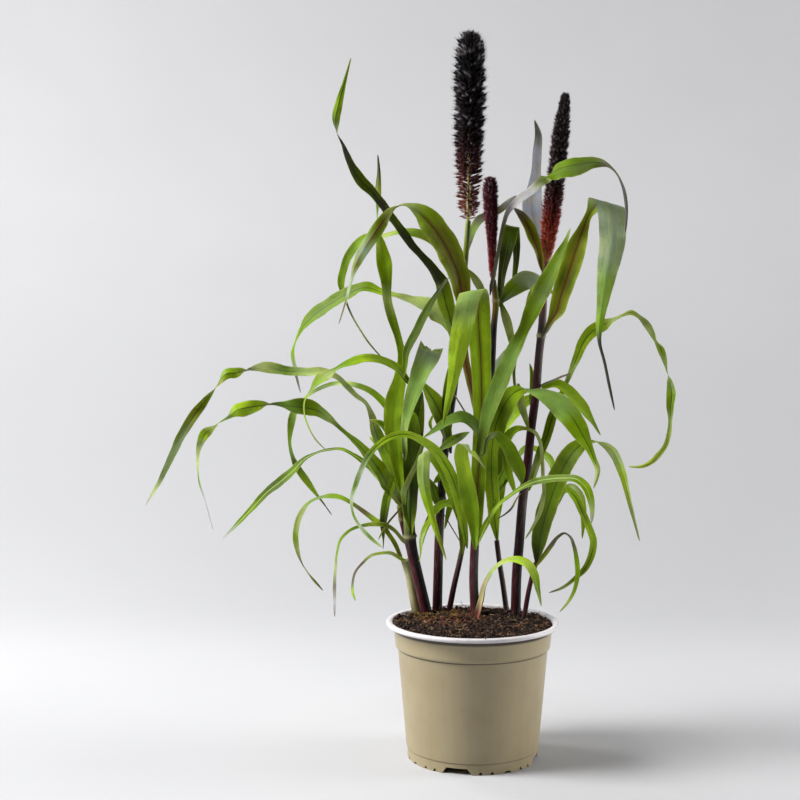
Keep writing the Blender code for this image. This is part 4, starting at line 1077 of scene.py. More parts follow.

# %% [markdown]
# ## The blades
# Each blade is a list of rows: across, up and width in millimetres, then the turn about its own
# line in degrees, and at a hairpin fold the angle of the fold line and an extra step in depth.
# The first numbers are the depths of its base and tip, then the kind of rib and one letter of tone,
# with its painted light or shade, for each row. The same rows make the plain solids, so both run
# through the same places.

# %% Blade rows
BLADES = {
    "blade_far_left": (44, -30, "dark", "ghgmossssppcskhgomodddsw", [
        (-83, 284, 8), (-89, 315, 12), (-97, 335, 13), (-106, 355, 12), (-112, 374, 9, 30),
        (-118, 388, 7, 60), (-128, 396, 8, 50), (-138, 405, 8, 35), (-147, 415, 7, 30),
        (-160, 421, 9, 15), (-182, 422, 9), (-205, 423, 10), (-228, 427, 12), (-246, 424, 10, 75),
        (-260, 421, 12, 140), (-271, 420, 12, 165), (-280, 409, 6, 230), (-292, 394, 9, 300),
        (-306, 376, 11, 330), (-318, 357, 11, 345), (-331, 331, 9, 360), (-344, 304, 6, 360),
        (-353, 289, 4, 360), (-362, 274, 1.5, 360)]),
    "blade_left_second": (38, -140, "dark", "osmgghhgpgdckhhhdcphdscwww", [
        (-80, 280, 9), (-86, 288, 12), (-94, 299, 14), (-102, 314, 14), (-111, 326, 12),
        (-122, 338, 10, 20), (-135, 351, 7, 45), (-147, 361, 6, 50), (-158, 371, 9, 30),
        (-172, 380, 14, 15), (-187, 383, 17, 10), (-203, 384, 13, 30), (-221, 386, 9, 85),
        (-234, 385, 12, 135), (-247, 383, 16, 160), (-259, 380, 14, 180), (-268, 373, 6, 215),
        (-277, 368, 5, 250), (-286, 361, 8, 290), (-295, 354, 11, 330), (-300, 343, 8, 350),
        (-303, 322, 4, 390), (-302, 303, 4, 400), (-296, 282, 3, 400), (-291, 264, 2.5, 400),
        (-287, 248, 1.5, 400)]),
    "blade_left_low": (50, 120, "pale", "ddpmmgdddmddmmw", [
        (-84, 281, 6), (-92, 294, 8), (-103, 307, 7), (-117, 321, 6), (-131, 331, 5, 30),
        (-143, 337, 5, 45), (-157, 337, 4, 45), (-172, 333, 4, 40), (-185, 326, 6, 20), (-197, 314, 9),
        (-212, 301, 10), (-226, 290, 9), (-242, 273, 7), (-257, 257, 5), (-276, 238, 1.5)]),
    "blade_left_loop": (20, 150, "none", "gmgmmpmdsgcmmcdghhde", [
        (-84, 371, 8), (-91, 381, 9), (-98, 389, 8), (-110, 400, 7), (-125, 407, 6), (-140, 410, 5),
        (-155, 409, 4.5), (-170, 403, 5, 30), (-183, 394, 5, 40), (-192, 385, 6, 25), (-197, 375, 9),
        (-200, 362, 8), (-201, 347, 5, 25), (-199, 333, 5, 25), (-194, 320, 8), (-187, 309, 9),
        (-180, 299, 8), (-172, 288, 4), (-165, 279, 2.5, 30), (-155, 265, 1.5, 30)]),
    "blade_left_light": (-6, -95, "pale", "dhhafcsfmmmgod", [
        (-73, 413, 6), (-84, 427, 8), (-100, 435, 8), (-120, 437, 9), (-137, 431, 8, 20),
        (-150, 425, 6, 50), (-160, 419, 12, 20), (-170, 411, 9, 10), (-177, 402, 4, 40),
        (-184, 392, 3, 50), (-185, 379, 3, 50), (-182, 367, 3, 40), (-175, 352, 2.5, 40),
        (-162, 337, 1.5, 40)]),
    "blade_left_upright": (1, 34, "none", "gghhhgmmpmghgdokk", [
        (-80, 300, 9), (-84, 330, 14), (-88, 362, 19), (-86, 392, 20), (-80, 416, 14), (-78, 440, 9),
        (-82, 460, 8), (-89, 482, 10), (-94, 500, 10, 20), (-95, 520, 12, 10), (-97, 540, 17),
        (-101, 560, 12, 30), (-104, 577, 6, 70), (-105, 600, 9, 115), (-104, 620, 8, 150),
        (-103, 640, 4, 160), (-104, 658, 1.5, 160)]),
    "blade_left_branch": (-16, -50, "none", "mddddke", [
        (-74, 426, 5), (-72, 445, 8), (-64, 462, 9), (-55, 480, 9), (-46, 497, 7), (-37, 511, 4),
        (-27, 525, 1.5)]),
    "blade_left_torn": (-3, -22, "none", "dvjjjqp", [
        (-74, 335, 6), (-75, 358, 8), (-71, 380, 12), (-64, 403, 17), (-56, 425, 21),
        (-48, 444, 26, 0, -22), (-46, 450, 26, 0, -24)]),
    "blade_low_arc": (30, 100, "none", "oooohtofgccssgsbsob", [
        (-80, 220, 4), (-86, 234, 5), (-93, 245, 5), (-99, 254, 6), (-107, 259, 6), (-120, 269, 5),
        (-133, 278, 4), (-144, 284, 5), (-156, 286, 5.5), (-168, 284, 3, 30), (-179, 279, 4, 30),
        (-188, 268, 6), (-193, 255, 7), (-195, 240, 7), (-193, 226, 5.5), (-188, 211, 3, 40),
        (-183, 203, 2.5, 50), (-175, 193, 4, 20), (-165, 181, 1.5, 20)]),
    "blade_low_wisp": (26, -30, "none", "ypypttehg", [
        (-80, 217, 4), (-90, 223, 3.5), (-101, 223, 3), (-112, 220, 3), (-121, 212, 2.5),
        (-129, 202, 2.5), (-132, 190, 2.5), (-132, 180, 3), (-129, 170, 1.5)]),
    "blade_low_hanging": (22, -70, "none", "ssoycgggsewt", [
        (-78, 238, 4), (-86, 248, 4), (-96, 254, 4.5), (-109, 255, 4.5), (-122, 253, 3.5),
        (-135, 248, 3), (-145, 238, 3), (-149, 224, 2.5), (-151, 206, 3), (-152, 186, 3.5),
        (-152, 168, 3), (-152, 152, 1.5)]),
    "blade_up_left": (14, -60, "dark", "hghkkkkdxddkxkdhgs", [
        (-21, 455, 8), (-25, 478, 14), (-31, 500, 18), (-37, 522, 15, 20), (-48, 538, 11, 35),
        (-60, 551, 10, 35), (-75, 570, 11, 30), (-88, 588, 10, 30), (-100, 604, 10, 25),
        (-111, 618, 11, 20), (-124, 631, 12, 10), (-134, 648, 9, 30), (-142, 667, 7, 60),
        (-148, 680, 7, 90), (-150, 694, 10, 135), (-146, 714, 8, 160), (-140, 736, 4, 170),
        (-133, 762, 1.5, 170)]),
    "blade_olive": (20, -90, "maroon", "suuuuuooohpssmcqcqqde", [
        (3, 376, 7), (-1, 400, 8), (-7, 425, 9), (-11, 448, 9), (-12, 475, 11), (-12, 500, 16),
        (-16, 525, 22), (-26, 550, 26), (-40, 574, 26), (-55, 591, 22, 5), (-67, 600, 13, 40),
        (-78, 603, 8, 75), (-89, 597, 10, 115), (-99, 585, 13, 145), (-109, 571, 14, 165),
        (-120, 555, 12, 175), (-128, 539, 8, 180), (-133, 524, 4, 195), (-137, 509, 4, 220),
        (-141, 494, 4, 230), (-147, 475, 1.5, 230)]),
    "blade_behind_olive": (30, 130, "none", "boomgsgmmgkksoe", [
        (-19, 525, 6), (-30, 548, 9), (-45, 565, 10), (-62, 573, 10), (-80, 574, 8, 40),
        (-100, 569, 8, 30), (-120, 567, 9), (-133, 553, 10), (-141, 535, 9), (-144, 518, 8),
        (-140, 503, 4, 40), (-135, 490, 3, 40), (-125, 471, 2.5, 30), (-112, 452, 2.5, 30),
        (-96, 434, 1.5, 30)]),
    "blade_pale_left": (17, 75, "dark", "ppspshmmmmmggqew", [
        (-23, 463, 9), (-29, 476, 16), (-41, 487, 24, 15), (-58, 497, 20, 35), (-78, 503, 12, 55),
        (-98, 508, 11, 40), (-117, 514, 13, 20), (-136, 508, 14), (-155, 497, 14), (-174, 484, 14),
        (-188, 468, 9, 30), (-194, 455, 5, 55), (-197, 442, 6, 20), (-195, 427, 5), (-192, 412, 3),
        (-189, 399, 1.5)]),
    "blade_flag": (19, 60, "none", "tkmeeeww", [
        (-8, 546, 4), (-5, 562, 7), (0, 577, 9), (7, 587, 10), (17, 592, 9, 20), (28, 598, 8, 30),
        (38, 606, 7, 35), (46, 613, 2, 35)]),
    "blade_mid_left": (20, 0, "dark", "kmmhhg", [
        (-27, 343, 7), (-31, 361, 13), (-36, 377, 18), (-43, 391, 17), (-50, 402, 10), (-56, 412, 2)]),
    "blade_arch": (4, -150, "dark", "haahlaalhhcqcqmqcs", [
        (-8, 239, 5), (-11, 258, 9), (-15, 280, 12), (-21, 302, 12), (-31, 322, 11), (-43, 338, 10),
        (-57, 348, 8), (-72, 354, 7), (-88, 352, 6.5), (-102, 344, 6), (-114, 331, 6), (-123, 314, 5.5),
        (-129, 297, 5), (-133, 282, 4, 30), (-131, 266, 3.5, 45), (-123, 252, 4, 20), (-112, 240, 4),
        (-99, 229, 1.5)]),
    "blade_hanging_left": (12, -30, "none", "ggahasvvhhhos", [
        (-10, 243, 4), (-16, 266, 7), (-26, 292, 8), (-37, 318, 9, 10), (-45, 331, 12, 0, 20, -2),
        (-51, 336, 15, 0, 25, -4), (-54, 322, 14, 0, 5, -3), (-54, 304, 13), (-51, 286, 11),
        (-46, 268, 8), (-41, 251, 6), (-35, 234, 4), (-29, 216, 1.5)]),
    "blade_low_bow": (20, 12, "none", "osyyaaaap", [
        (-9, 241, 4), (-11, 254, 6), (-15, 268, 7), (-22, 277, 7), (-32, 278, 8), (-42, 270, 8),
        (-49, 257, 7), (-54, 243, 5), (-57, 228, 1.5)]),
    "blade_big_fold": (-4, -30, "maroon", "dmghhlllhvvvvaaaaff", [
        (4, 244, 9), (4, 268, 14), (5, 297, 16), (7, 330, 17), (9, 365, 18), (9, 400, 20), (8, 435, 22),
        (6, 468, 25), (4, 496, 27, 0, 4), (2, 508, 27, 0, 6, -3), (-1, 511, 27, 0, 8, -5),
        (-5, 503, 26, 0, 9, -4), (-9, 486, 25, 0, 4), (-13, 466, 23, 0, 0), (-17, 445, 20),
        (-21, 420, 13), (-25, 400, 9), (-29, 382, 6), (-33, 364, 1.5)]),
    "blade_bright_fold": (-16, -28, "none", "fggfaaypysq", [
        (2, 238, 7), (1, 256, 12), (-2, 275, 17), (-6, 295, 18), (-10, 315, 16), (-13, 334, 15, 0, 4),
        (-11, 344, 12, 0, -4, -3), (-5, 338, 8, 0, -25, -3), (1, 333, 5), (7, 326, 3), (13, 317, 1.5)]),
    "blade_mid_level": (-11, -30, "none", "omcccccm", [
        (8, 342, 6), (5, 357, 9), (-2, 368, 11), (-13, 373, 12), (-24, 370, 10), (-36, 363, 7),
        (-46, 356, 4), (-54, 351, 1.5)]),
    "blade_twisted": (-9, -95, "dark", "xeeewwwsmmddeexxxx", [
        (20, 516, 4), (24, 538, 4, 20), (28, 561, 4, 30), (32, 582, 4.5, 40), (38, 598, 6, 35),
        (49, 608, 8), (62, 618, 9), (74, 629, 10, 40), (84, 637, 17, 130), (98, 643, 20, 175),
        (115, 646, 19, 180), (130, 648, 12, 190), (143, 645, 5, 230), (152, 637, 3.5, 250),
        (159, 624, 3.5, 240), (163, 607, 4, 230), (164, 590, 3, 230), (163, 573, 1.5, 230)]),
    "blade_dark_fold": (9, 24, "none", "kkkddddkkdo", [
        (29, 509, 7), (31, 530, 9), (35, 552, 14), (38, 569, 18), (40, 578, 18, 0, -8, 3),
        (42, 580, 15, 0, -12, 4), (44, 573, 12, 0, -10, 3), (46, 560, 9, 0, -5), (46, 545, 7),
        (44, 525, 5), (42, 506, 1.5)]),
    "blade_pale_right": (12, 40, "none", "kdmqqqc", [
        (32, 499, 6), (38, 505, 14), (46, 514, 20, 10), (56, 521, 21, 10), (67, 520, 17, 10),
        (77, 514, 11), (86, 508, 3)]),
    "blade_node_hanging": (8, 16, "none", "dssmg", [
        (31, 494, 5), (35, 483, 9), (39, 468, 9), (42, 452, 6), (43, 438, 1.5)]),
    "blade_fold_right": (34, -60, "dark", "ghhmhmmhljjjggggsss", [
        (26, 246, 6), (24, 262, 12), (22, 288, 15), (20, 316, 17), (21, 342, 19), (25, 365, 23),
        (33, 385, 24), (42, 398, 20, 20, None, -6), (52, 404, 14, 55, None, -8),
        (66, 403, 12, 120, None, -6), (82, 397, 19, 155), (98, 384, 23, 175), (110, 369, 22, 180),
        (119, 353, 16, 185), (126, 340, 9, 190), (131, 328, 6, 205), (135, 317, 6, 215),
        (134, 307, 4, 215), (131, 296, 1.5, 215)]),
    "blade_droop": (-28, -60, "none", "dkdmmmm", [
        (14, 336, 4), (17, 350, 4.5), (24, 354, 7), (34, 345, 12), (43, 330, 14), (50, 314, 12),
        (53, 300, 2)]),
    "blade_strip": (-12, -18, "none", "mmggg", [
        (34, 345, 5), (36, 326, 8), (40, 309, 8), (44, 297, 5), (46, 289, 1.5)]),
    "blade_back_tail": (8, -70, "none", "mmggossssssss", [
        (30, 320, 6), (33, 339, 10), (39, 354, 10), (48, 361, 7), (58, 361, 4, 30), (67, 357, 4, 20),
        (73, 345, 4), (75, 328, 4), (76, 308, 4), (77, 289, 4), (73, 270, 4.5), (66, 255, 3),
        (57, 240, 1.5)]),
    "blade_behind_right": (26, 70, "pale", "lhhgh", [
        (37, 362, 8), (43, 376, 15), (51, 386, 13), (60, 393, 9), (71, 398, 2)]),
    "blade_back_loop": (30, 70, "none", "gmhshhhhgm", [
        (27, 288, 4), (35, 302, 5), (43, 318, 5), (50, 332, 5), (58, 340, 6), (67, 339, 6),
        (76, 334, 7), (83, 327, 8), (87, 315, 6), (87, 303, 2)]),
    "blade_up_right": (-19, -60, "none", "ddccccmmdmmms", [
        (8, 336, 8), (11, 354, 10), (16, 376, 14), (24, 398, 17), (34, 422, 17), (44, 446, 15),
        (54, 468, 12, 25), (64, 490, 17, 10), (74, 510, 18), (84, 530, 15), (92, 548, 10), (99, 563, 5),
        (104, 578, 1.5)]),
    "blade_right_fold": (-2, -60, "maroon", "eooodooohzzzqqjjfxxxx", [
        (79, 468, 6), (84, 478, 8), (90, 488, 16), (94, 504, 19), (100, 522, 21), (106, 541, 22),
        (112, 560, 20), (118, 578, 12, 20), (125, 594, 9, 10), (136, 606, 26, 0, -20, -3),
        (146, 604, 31, 0, -15, -4), (149, 586, 29, 0, -3, -4), (149, 566, 27), (146, 545, 24),
        (142, 520, 18), (139, 497, 12), (136, 475, 8), (136, 456, 4), (142, 432, 3), (147, 408, 3),
        (153, 381, 1.5)]),
    "blade_thin_arch": (3, 150, "dark", "gsmmmhmphhhhppypspphpcmggppyyyyy", [
        (64, 303, 6), (68, 318, 8), (73, 334, 9), (80, 352, 10), (86, 374, 10), (92, 391, 7),
        (98, 405, 5, 30), (105, 421, 6), (112, 438, 9), (119, 455, 12), (129, 467, 14),
        (141, 474, 13, 20), (150, 479, 7, 50), (160, 484, 5, 50), (170, 487, 6, 30), (178, 483, 5, 40),
        (186, 475, 8, 20), (192, 465, 7, 10), (196, 457, 4, 50), (202, 447, 8, 20), (206, 436, 6, 30),
        (209, 424, 4, 80), (212, 412, 9, 140), (214, 400, 12, 165), (213, 385, 9, 180),
        (213, 370, 5, 180), (212, 357, 6, 180), (208, 343, 6, 180), (201, 333, 7, 180),
        (193, 325, 6, 180), (182, 320, 4, 180), (168, 320, 1.5, 180)]),
    "blade_right_rear": (10, 2, "none", "ahhhhgg", [
        (79, 406, 6), (90, 409, 9), (101, 403, 12), (112, 392, 13), (122, 379, 10), (130, 367, 5),
        (138, 354, 1.5)]),
    "blade_lilac": (14, 30, "none", "eWWWWWWww", [
        (73, 553, 6), (70, 570, 13), (65, 588, 21), (63, 604, 22), (65, 620, 16), (67, 640, 10.5),
        (68, 660, 10), (69, 678, 7.5), (65, 694, 1.5)]),
    "blade_olive_right": (-8, -2, "maroon", "ooootw", [
        (71, 541, 6), (69, 553, 9), (64, 567, 12), (58, 581, 12), (51, 592, 9), (43, 600, 2)]),
    "blade_broad_right": (0, -70, "dark", "kddmmdmgypppaysss", [
        (71, 220, 7), (73, 239, 16), (78, 262, 19), (85, 285, 20), (92, 305, 20), (101, 324, 20),
        (111, 338, 17), (121, 346, 11, 30), (130, 348, 7, 65), (139, 346, 7, 120), (149, 340, 10, 155),
        (157, 327, 10, 175), (163, 310, 8, 180), (168, 290, 6, 180), (173, 270, 4, 180),
        (177, 255, 3, 180), (181, 239, 1.5, 180)]),
    "blade_low_reach": (-7, -120, "pale", "mgghgmmmmmggpw", [
        (8, 240, 4), (13, 252, 6), (19, 264, 5), (28, 277, 3.5), (41, 288, 3.5), (54, 297, 4.5),
        (68, 303, 6), (84, 306, 6.5), (99, 307, 6), (112, 306, 7), (121, 299, 8), (127, 286, 7),
        (129, 272, 5), (129, 258, 1.5)]),
    "blade_right_bow": (12, 60, "dark", "gkmmalhaahghpw", [
        (73, 222, 4), (77, 240, 6), (83, 262, 7), (91, 282, 8), (101, 295, 8), (110, 288, 9),
        (118, 272, 8), (126, 254, 8), (131, 239, 8), (129, 223, 8), (122, 208, 7), (112, 198, 5),
        (98, 187, 3.5), (83, 181, 1.5)]),
    "blade_right_drop": (18, 95, "none", "kddmgpshgg", [
        (72, 224, 4), (75, 240, 6), (81, 260, 7), (88, 280, 8), (97, 293, 8), (107, 297, 8),
        (115, 290, 9), (119, 277, 8), (120, 262, 6), (119, 241, 1.5)]),
    "blade_right_hook": (-7, -90, "none", "ooeeeeegggys", [
        (74, 217, 4), (79, 224, 5), (86, 234, 5), (93, 243, 3.5), (100, 247, 3, 40), (106, 243, 3, 40),
        (110, 233, 4), (113, 218, 5), (114, 200, 5), (111, 185, 4), (104, 171, 3), (95, 160, 1.5)]),
    "sprout": (-16, -60, "pale", "rPPppylyhgs", [
        (6, 158, 6), (9, 172, 5), (13, 190, 4), (20, 203, 4), (29, 212, 4), (39, 217, 4.5),
        (50, 217, 7), (60, 212, 9), (67, 200, 8), (71, 184, 5), (75, 166, 1.5)]),
}
# Small leaves and dry tips between the big ones, each close to a solid, so they have none.
SMALL_LEAVES = {
    "clasp_left": (7, 0, "none", "gdkddg", [
        (-68, 253, 7), (-69, 266, 14), (-69, 290, 18), (-67, 320, 20), (-66, 350, 19), (-65, 378, 8)]),
    "strap_left": (0, -6, "none", "spspg", [
        (-56, 341, 4), (-62, 322, 5), (-70, 305, 6), (-76, 291, 7), (-74, 276, 2)]),
    "fork_left": (6, 2, "none", "hphh", [(-57, 224, 2), (-56, 240, 5), (-52, 252, 6), (-45, 264, 3)]),
    "rear_left": (34, 28, "dark", "dkmgg", [
        (-98, 238, 2), (-98, 258, 8), (-95, 280, 10), (-89, 300, 9), (-84, 318, 4)]),
    "low_middle": (26, 22, "dark", "dmd", [(-47, 301, 3), (-42, 288, 9), (-37, 275, 6)]),
    "tuft_middle": (24, 20, "none", "hgs", [(-37, 312, 2), (-40, 305, 6), (-44, 300, 1.5)]),
    "behind_bow": (24, 20, "none", "ghgy", [(-21, 302, 6), (-24, 282, 8), (-28, 264, 5), (-31, 250, 1.5)]),
    "rust_thread": (14, 10, "none", "bbt", [(-27, 259, 1.4), (-20, 247, 1.3), (-13, 235, 1.2)]),
    "curl_middle": (14, 8, "none", "jgdg", [(-33, 339, 5), (-25, 345, 10), (-14, 351, 8), (-4, 357, 2)]),
    "dry_thread": (4, -18, "none", "ttbt", [(-19, 396, 1.6), (-7, 376, 2.0), (3, 360, 1.8), (13, 347, 1.4)]),
    "small_left": (16, 14, "none", "hyh", [(-44, 375, 2), (-47, 367, 4), (-44, 356, 1.5)]),
    "behind_fold": (38, 34, "dark", "mggh", [(23, 286, 8), (28, 303, 13), (34, 316, 11), (41, 326, 4)]),
    "grey_hook": (6, -2, "none", "seet", [(47, 284, 2), (41, 273, 2.4), (33, 266, 1.8), (26, 262, 1.2)]),
    "clasp_right": (0, 2, "none", "osso", [(51, 400, 8), (53, 386, 9), (57, 372, 6), (60, 360, 2)]),
    "grey_thread": (2, -20, "none", "eett", [(78, 410, 2), (88, 414, 2.2), (97, 418, 2), (106, 421, 1.2)]),
    "top_middle": (14, 10, "none", "ssg", [(11, 503, 6), (3, 520, 9), (-6, 534, 2)]),
    "bright_right": (16, 14, "none", "hlh", [(58, 494, 3), (65, 508, 9), (72, 522, 3)]),
    "thin_rear": (50, 44, "none", "mgh", [(27, 262, 5), (31, 292, 8), (38, 325, 2)]),
    "upper_left": (14, 6, "dark", "kdgg", [(-29, 372, 9), (-29, 392, 10), (-28, 412, 7), (-26, 430, 2)]),
    "middle_left": (30, 24, "none", "dmg", [(-36, 272, 6), (-40, 290, 8), (-48, 306, 2)]),
    "left_crown": (24, 16, "dark", "mghgy", [
        (-83, 322, 6), (-86, 340, 9), (-92, 356, 9), (-101, 366, 6), (-112, 370, 1.5)]),
    "left_spear": (30, 44, "none", "ghhy", [(-84, 300, 5), (-93, 322, 8), (-103, 340, 6), (-114, 352, 1.5)]),
    "slender_top": (9, 6, "none", "oosgf", [
        (-12, 232, 5), (-12, 243, 7), (-13, 256, 8), (-14, 274, 5), (-16, 292, 1.5)]),
    "dark_left": (14, 10, "dark", "kddddk", [
        (-66, 296, 6), (-65, 318, 14), (-64, 342, 18), (-62, 366, 18), (-59, 386, 12), (-56, 402, 3)]),
    "mid_teal": (4, 8, "none", "mqqqq", [
        (14, 398, 5), (20, 412, 10), (27, 426, 14), (33, 438, 10), (36, 448, 2)]),
    "mid_thread": (8, 6, "none", "ssssq", [
        (49, 455, 1.5), (46, 440, 4), (44, 424, 3.5), (45, 408, 3), (48, 392, 1.5)]),
    "right_spur": (14, 12, "none", "hhhg", [(62, 396, 3), (64, 410, 6), (63, 424, 4), (61, 432, 1.5)]),
    "root_blade": (26, 22, "none", "ttp", [(-84, 268, 2), (-94, 256, 2.4), (-104, 238, 1.4)]),
}
print("blades:", len(BLADES), "rows:", sum(len(b[4]) for b in BLADES.values()), "small:", len(SMALL_LEAVES))

# %% [markdown]
# A blade lies back the more it travels sideways, because it hangs from its middle rib. Where its
# rows turn past a right angle it shows its other face. Smooth curves through the rows then give a
# centre, a direction to the edge, a width and two tones, one for each face, every few millimetres.

# %% Blade places
# How late a blade leaves its base's depth, and how far it lies back when it travels sideways.
ARCH = 1.4
LEAN = 38.0
SIDEWAYS = 0.5
MOST_WIDENING = 1.4
LEAST_COSINE = 0.1
EASTWARDS = Vector((1.0, 0.0, 0.0))
BACKWARDS = Vector((0.0, 1.0, 0.0))


def blade_stations(base_depth, tip_depth, rows):
    """For each row: centre, direction to the edge, width in millimetres and whether it is folded."""
    spans = lengths_along([(row[0], row[1]) for row in rows])
    centres, sides, widths, folds = [], [], [], []
    stepped = 0.0
    for row, span in zip(rows, spans):
        stepped += row[5] if len(row) > 5 else 0.0
        depth = base_depth + (tip_depth - base_depth) * (span / spans[-1]) ** ARCH
        centres.append(seen_at(row[0], row[1], depth + stepped))
    travel = (rows[0][0] - rows[-1][0]) / (SIDEWAYS * spans[-1])
    lean = math.radians(LEAN) * max(-1.0, min(1.0, travel))
    last_flat = None
    for i, row in enumerate(rows):
        ahead = min(i + 1, len(rows) - 1)
        behind = max(i - 1, 0)
        turn = math.radians(row[3]) if len(row) > 3 else 0.0
        facing_share = math.cos(turn)
        folded = len(row) > 4 and row[4] is not None
        if not folded:
            turn += lean * facing_share ** 2
        widening = min(MOST_WIDENING, max(1.0, abs(facing_share) / max(abs(math.cos(turn)), LEAST_COSINE)))
        if folded:
            fold_line = math.radians(row[4])
            flat = Vector((math.cos(fold_line), 0.0, math.sin(fold_line)))
        else:
            fall = rows[behind][1] - rows[ahead][1]
            flat = Vector((fall, 0.0, rows[ahead][0] - rows[behind][0])).normalized()
        if flat.dot(last_flat or EASTWARDS) < 0.0:
            flat = -flat
        last_flat = flat
        side = flat * math.cos(turn) + BACKWARDS * math.sin(turn)
        along = (centres[ahead] - centres[behind]).normalized()
        if not folded:
            side = (side - along * side.dot(along)).normalized()
        sides.append(side)
        widths.append(row[2] * widening)
        folds.append(1.0 if folded else 0.0)
    return np.array(centres), np.array(sides), np.array(widths), np.array(folds)


print("stations of the thin arch:", len(blade_stations(3, 150, BLADES["blade_thin_arch"][4])[0]))

# %% [markdown]
# A blade is thin, but it isn't flat: its two halves rise from the rib like a shallow channel, which
# opens along its length, and its edges are wavy. So each ring has points for the front face and, a
# third of a millimetre behind, for the back face, and the rib is a little thicker.

# %% Blade shape
BLADE_STEP = 2.6 * MM
BROAD = 7.0
WIDE_ACROSS = [-1.0, -0.97, -0.82, -0.6, -0.38, -0.18, 0.0, 0.18, 0.38, 0.6, 0.82, 0.97, 1.0]
THIN_ACROSS = [-1.0, -0.93, -0.5, 0.0, 0.5, 0.93, 1.0]
LEAST_WIDTH = 0.92
SMOOTHINGS = 2
THICKNESS = 0.35 * MM
RIB_THICKER = 1.6
RIB_HALF = 0.55
RIB_FULL = 6.0
# The channel: its slope in degrees at the foot and further on, where it has opened, how fast, how
# round its bottom is and how much a fold flattens it.
CHANNEL_LOW = 34.0
CHANNEL_HIGH = 11.0
CHANNEL_OPENS = 28.0 * MM
CHANNEL_EASE = 0.7
CHANNEL_ROUND = 0.012
FOLD_FLATTENS = 0.8
# Length of each wave of the edge in millimetres, and its height as a share of half the width.
RIPPLES = [(38.0, 0.060), (21.0, 0.036), (9.0, 0.012)]
FOOT_STEPS = 4
FOOT_NARROWS = 0.7
FOOT_WIDTH = 0.3
TIP_LENGTH = 3.0 * MM
TIP_WIDTH = 0.25
# How far a torn end stands out or back at each place across, in millimetres.
TORN = {"blade_left_torn": [5.0, 1.5, -3.0, -5.5, -1.0, -4.5, -2.0, -4.0, -0.5, -3.0, 0.5, 4.0, 1.0]}
TORN_REACH = 5.0 * MM
EDGE_POWER = 8
FAINT_RIB = 0.35
RIB_NEEDS = 2.5
PATTERN_SHIFT = 50.0


def square_to(other, vectors):
    """Vectors without their part along another, one long again."""
    return unit(vectors - other * np.sum(other * vectors, axis=1, keepdims=True))


def blade_frame(along, centres, sides, widths, where):
    """At each length: the middle, the ways to the edge, forward and off the face, and half the width."""
    on_blade = np.maximum(where, 0.0)
    middle = smooth_through(along, centres, where)
    side = unit(smooth_through(along, sides, on_blade))
    following = np.searchsorted(along, where)
    narrower = np.minimum(widths[np.clip(following - 1, 0, None)],
                          widths[np.clip(following, 0, len(widths) - 1)])
    half = np.maximum(smooth_through(along, widths, on_blade), narrower * LEAST_WIDTH) * MM / 2
    forward = square_to(side, unit(np.gradient(middle, where, axis=0)))
    normal = np.cross(side, forward)
    for _ in range(SMOOTHINGS):
        padded = np.pad(normal, ((1, 1), (0, 0)), mode="edge")
        normal = square_to(side, padded[:-2] + 2 * padded[1:-1] + padded[2:])
    return middle, side, forward, normal, half


def edge_waves(dice, where, across):
    """How far the wavy edges rise, in shares of half the width."""
    waves = np.zeros((len(where), len(across)))
    for length, share in RIPPLES:
        for edge in (-1.0, 1.0):
            wave = np.sin(where / MM / length * math.tau + dice.uniform(0.0, math.tau))
            waves += share * wave[:, None] * np.where(across * edge > 0.0, across ** 2, 0.0)[None, :]
    return waves


def face_tones(letters, toward_eye):
    """Tones and rib strengths by row for the face along the normal and for the one behind it."""
    faces = []
    for ahead in (True, False):
        seen = [c if (t > 0.0) == ahead else OTHER_FACE[c] for c, t in zip(letters, toward_eye)]
        faces.append((np.array([tone(c) for c in seen]), np.array([[float(c in RIB_SHOWS)] for c in seen])))
    return faces


def round_the_ring(along, where, front, back, counts):
    """Values by row, spread over the points of the front face and then over those of the back."""
    spread = [np.repeat(straight_through(along, values, where)[:, None], count, axis=1)
              for values, count in zip((front, back), counts)]
    return np.concatenate(spread, axis=1)


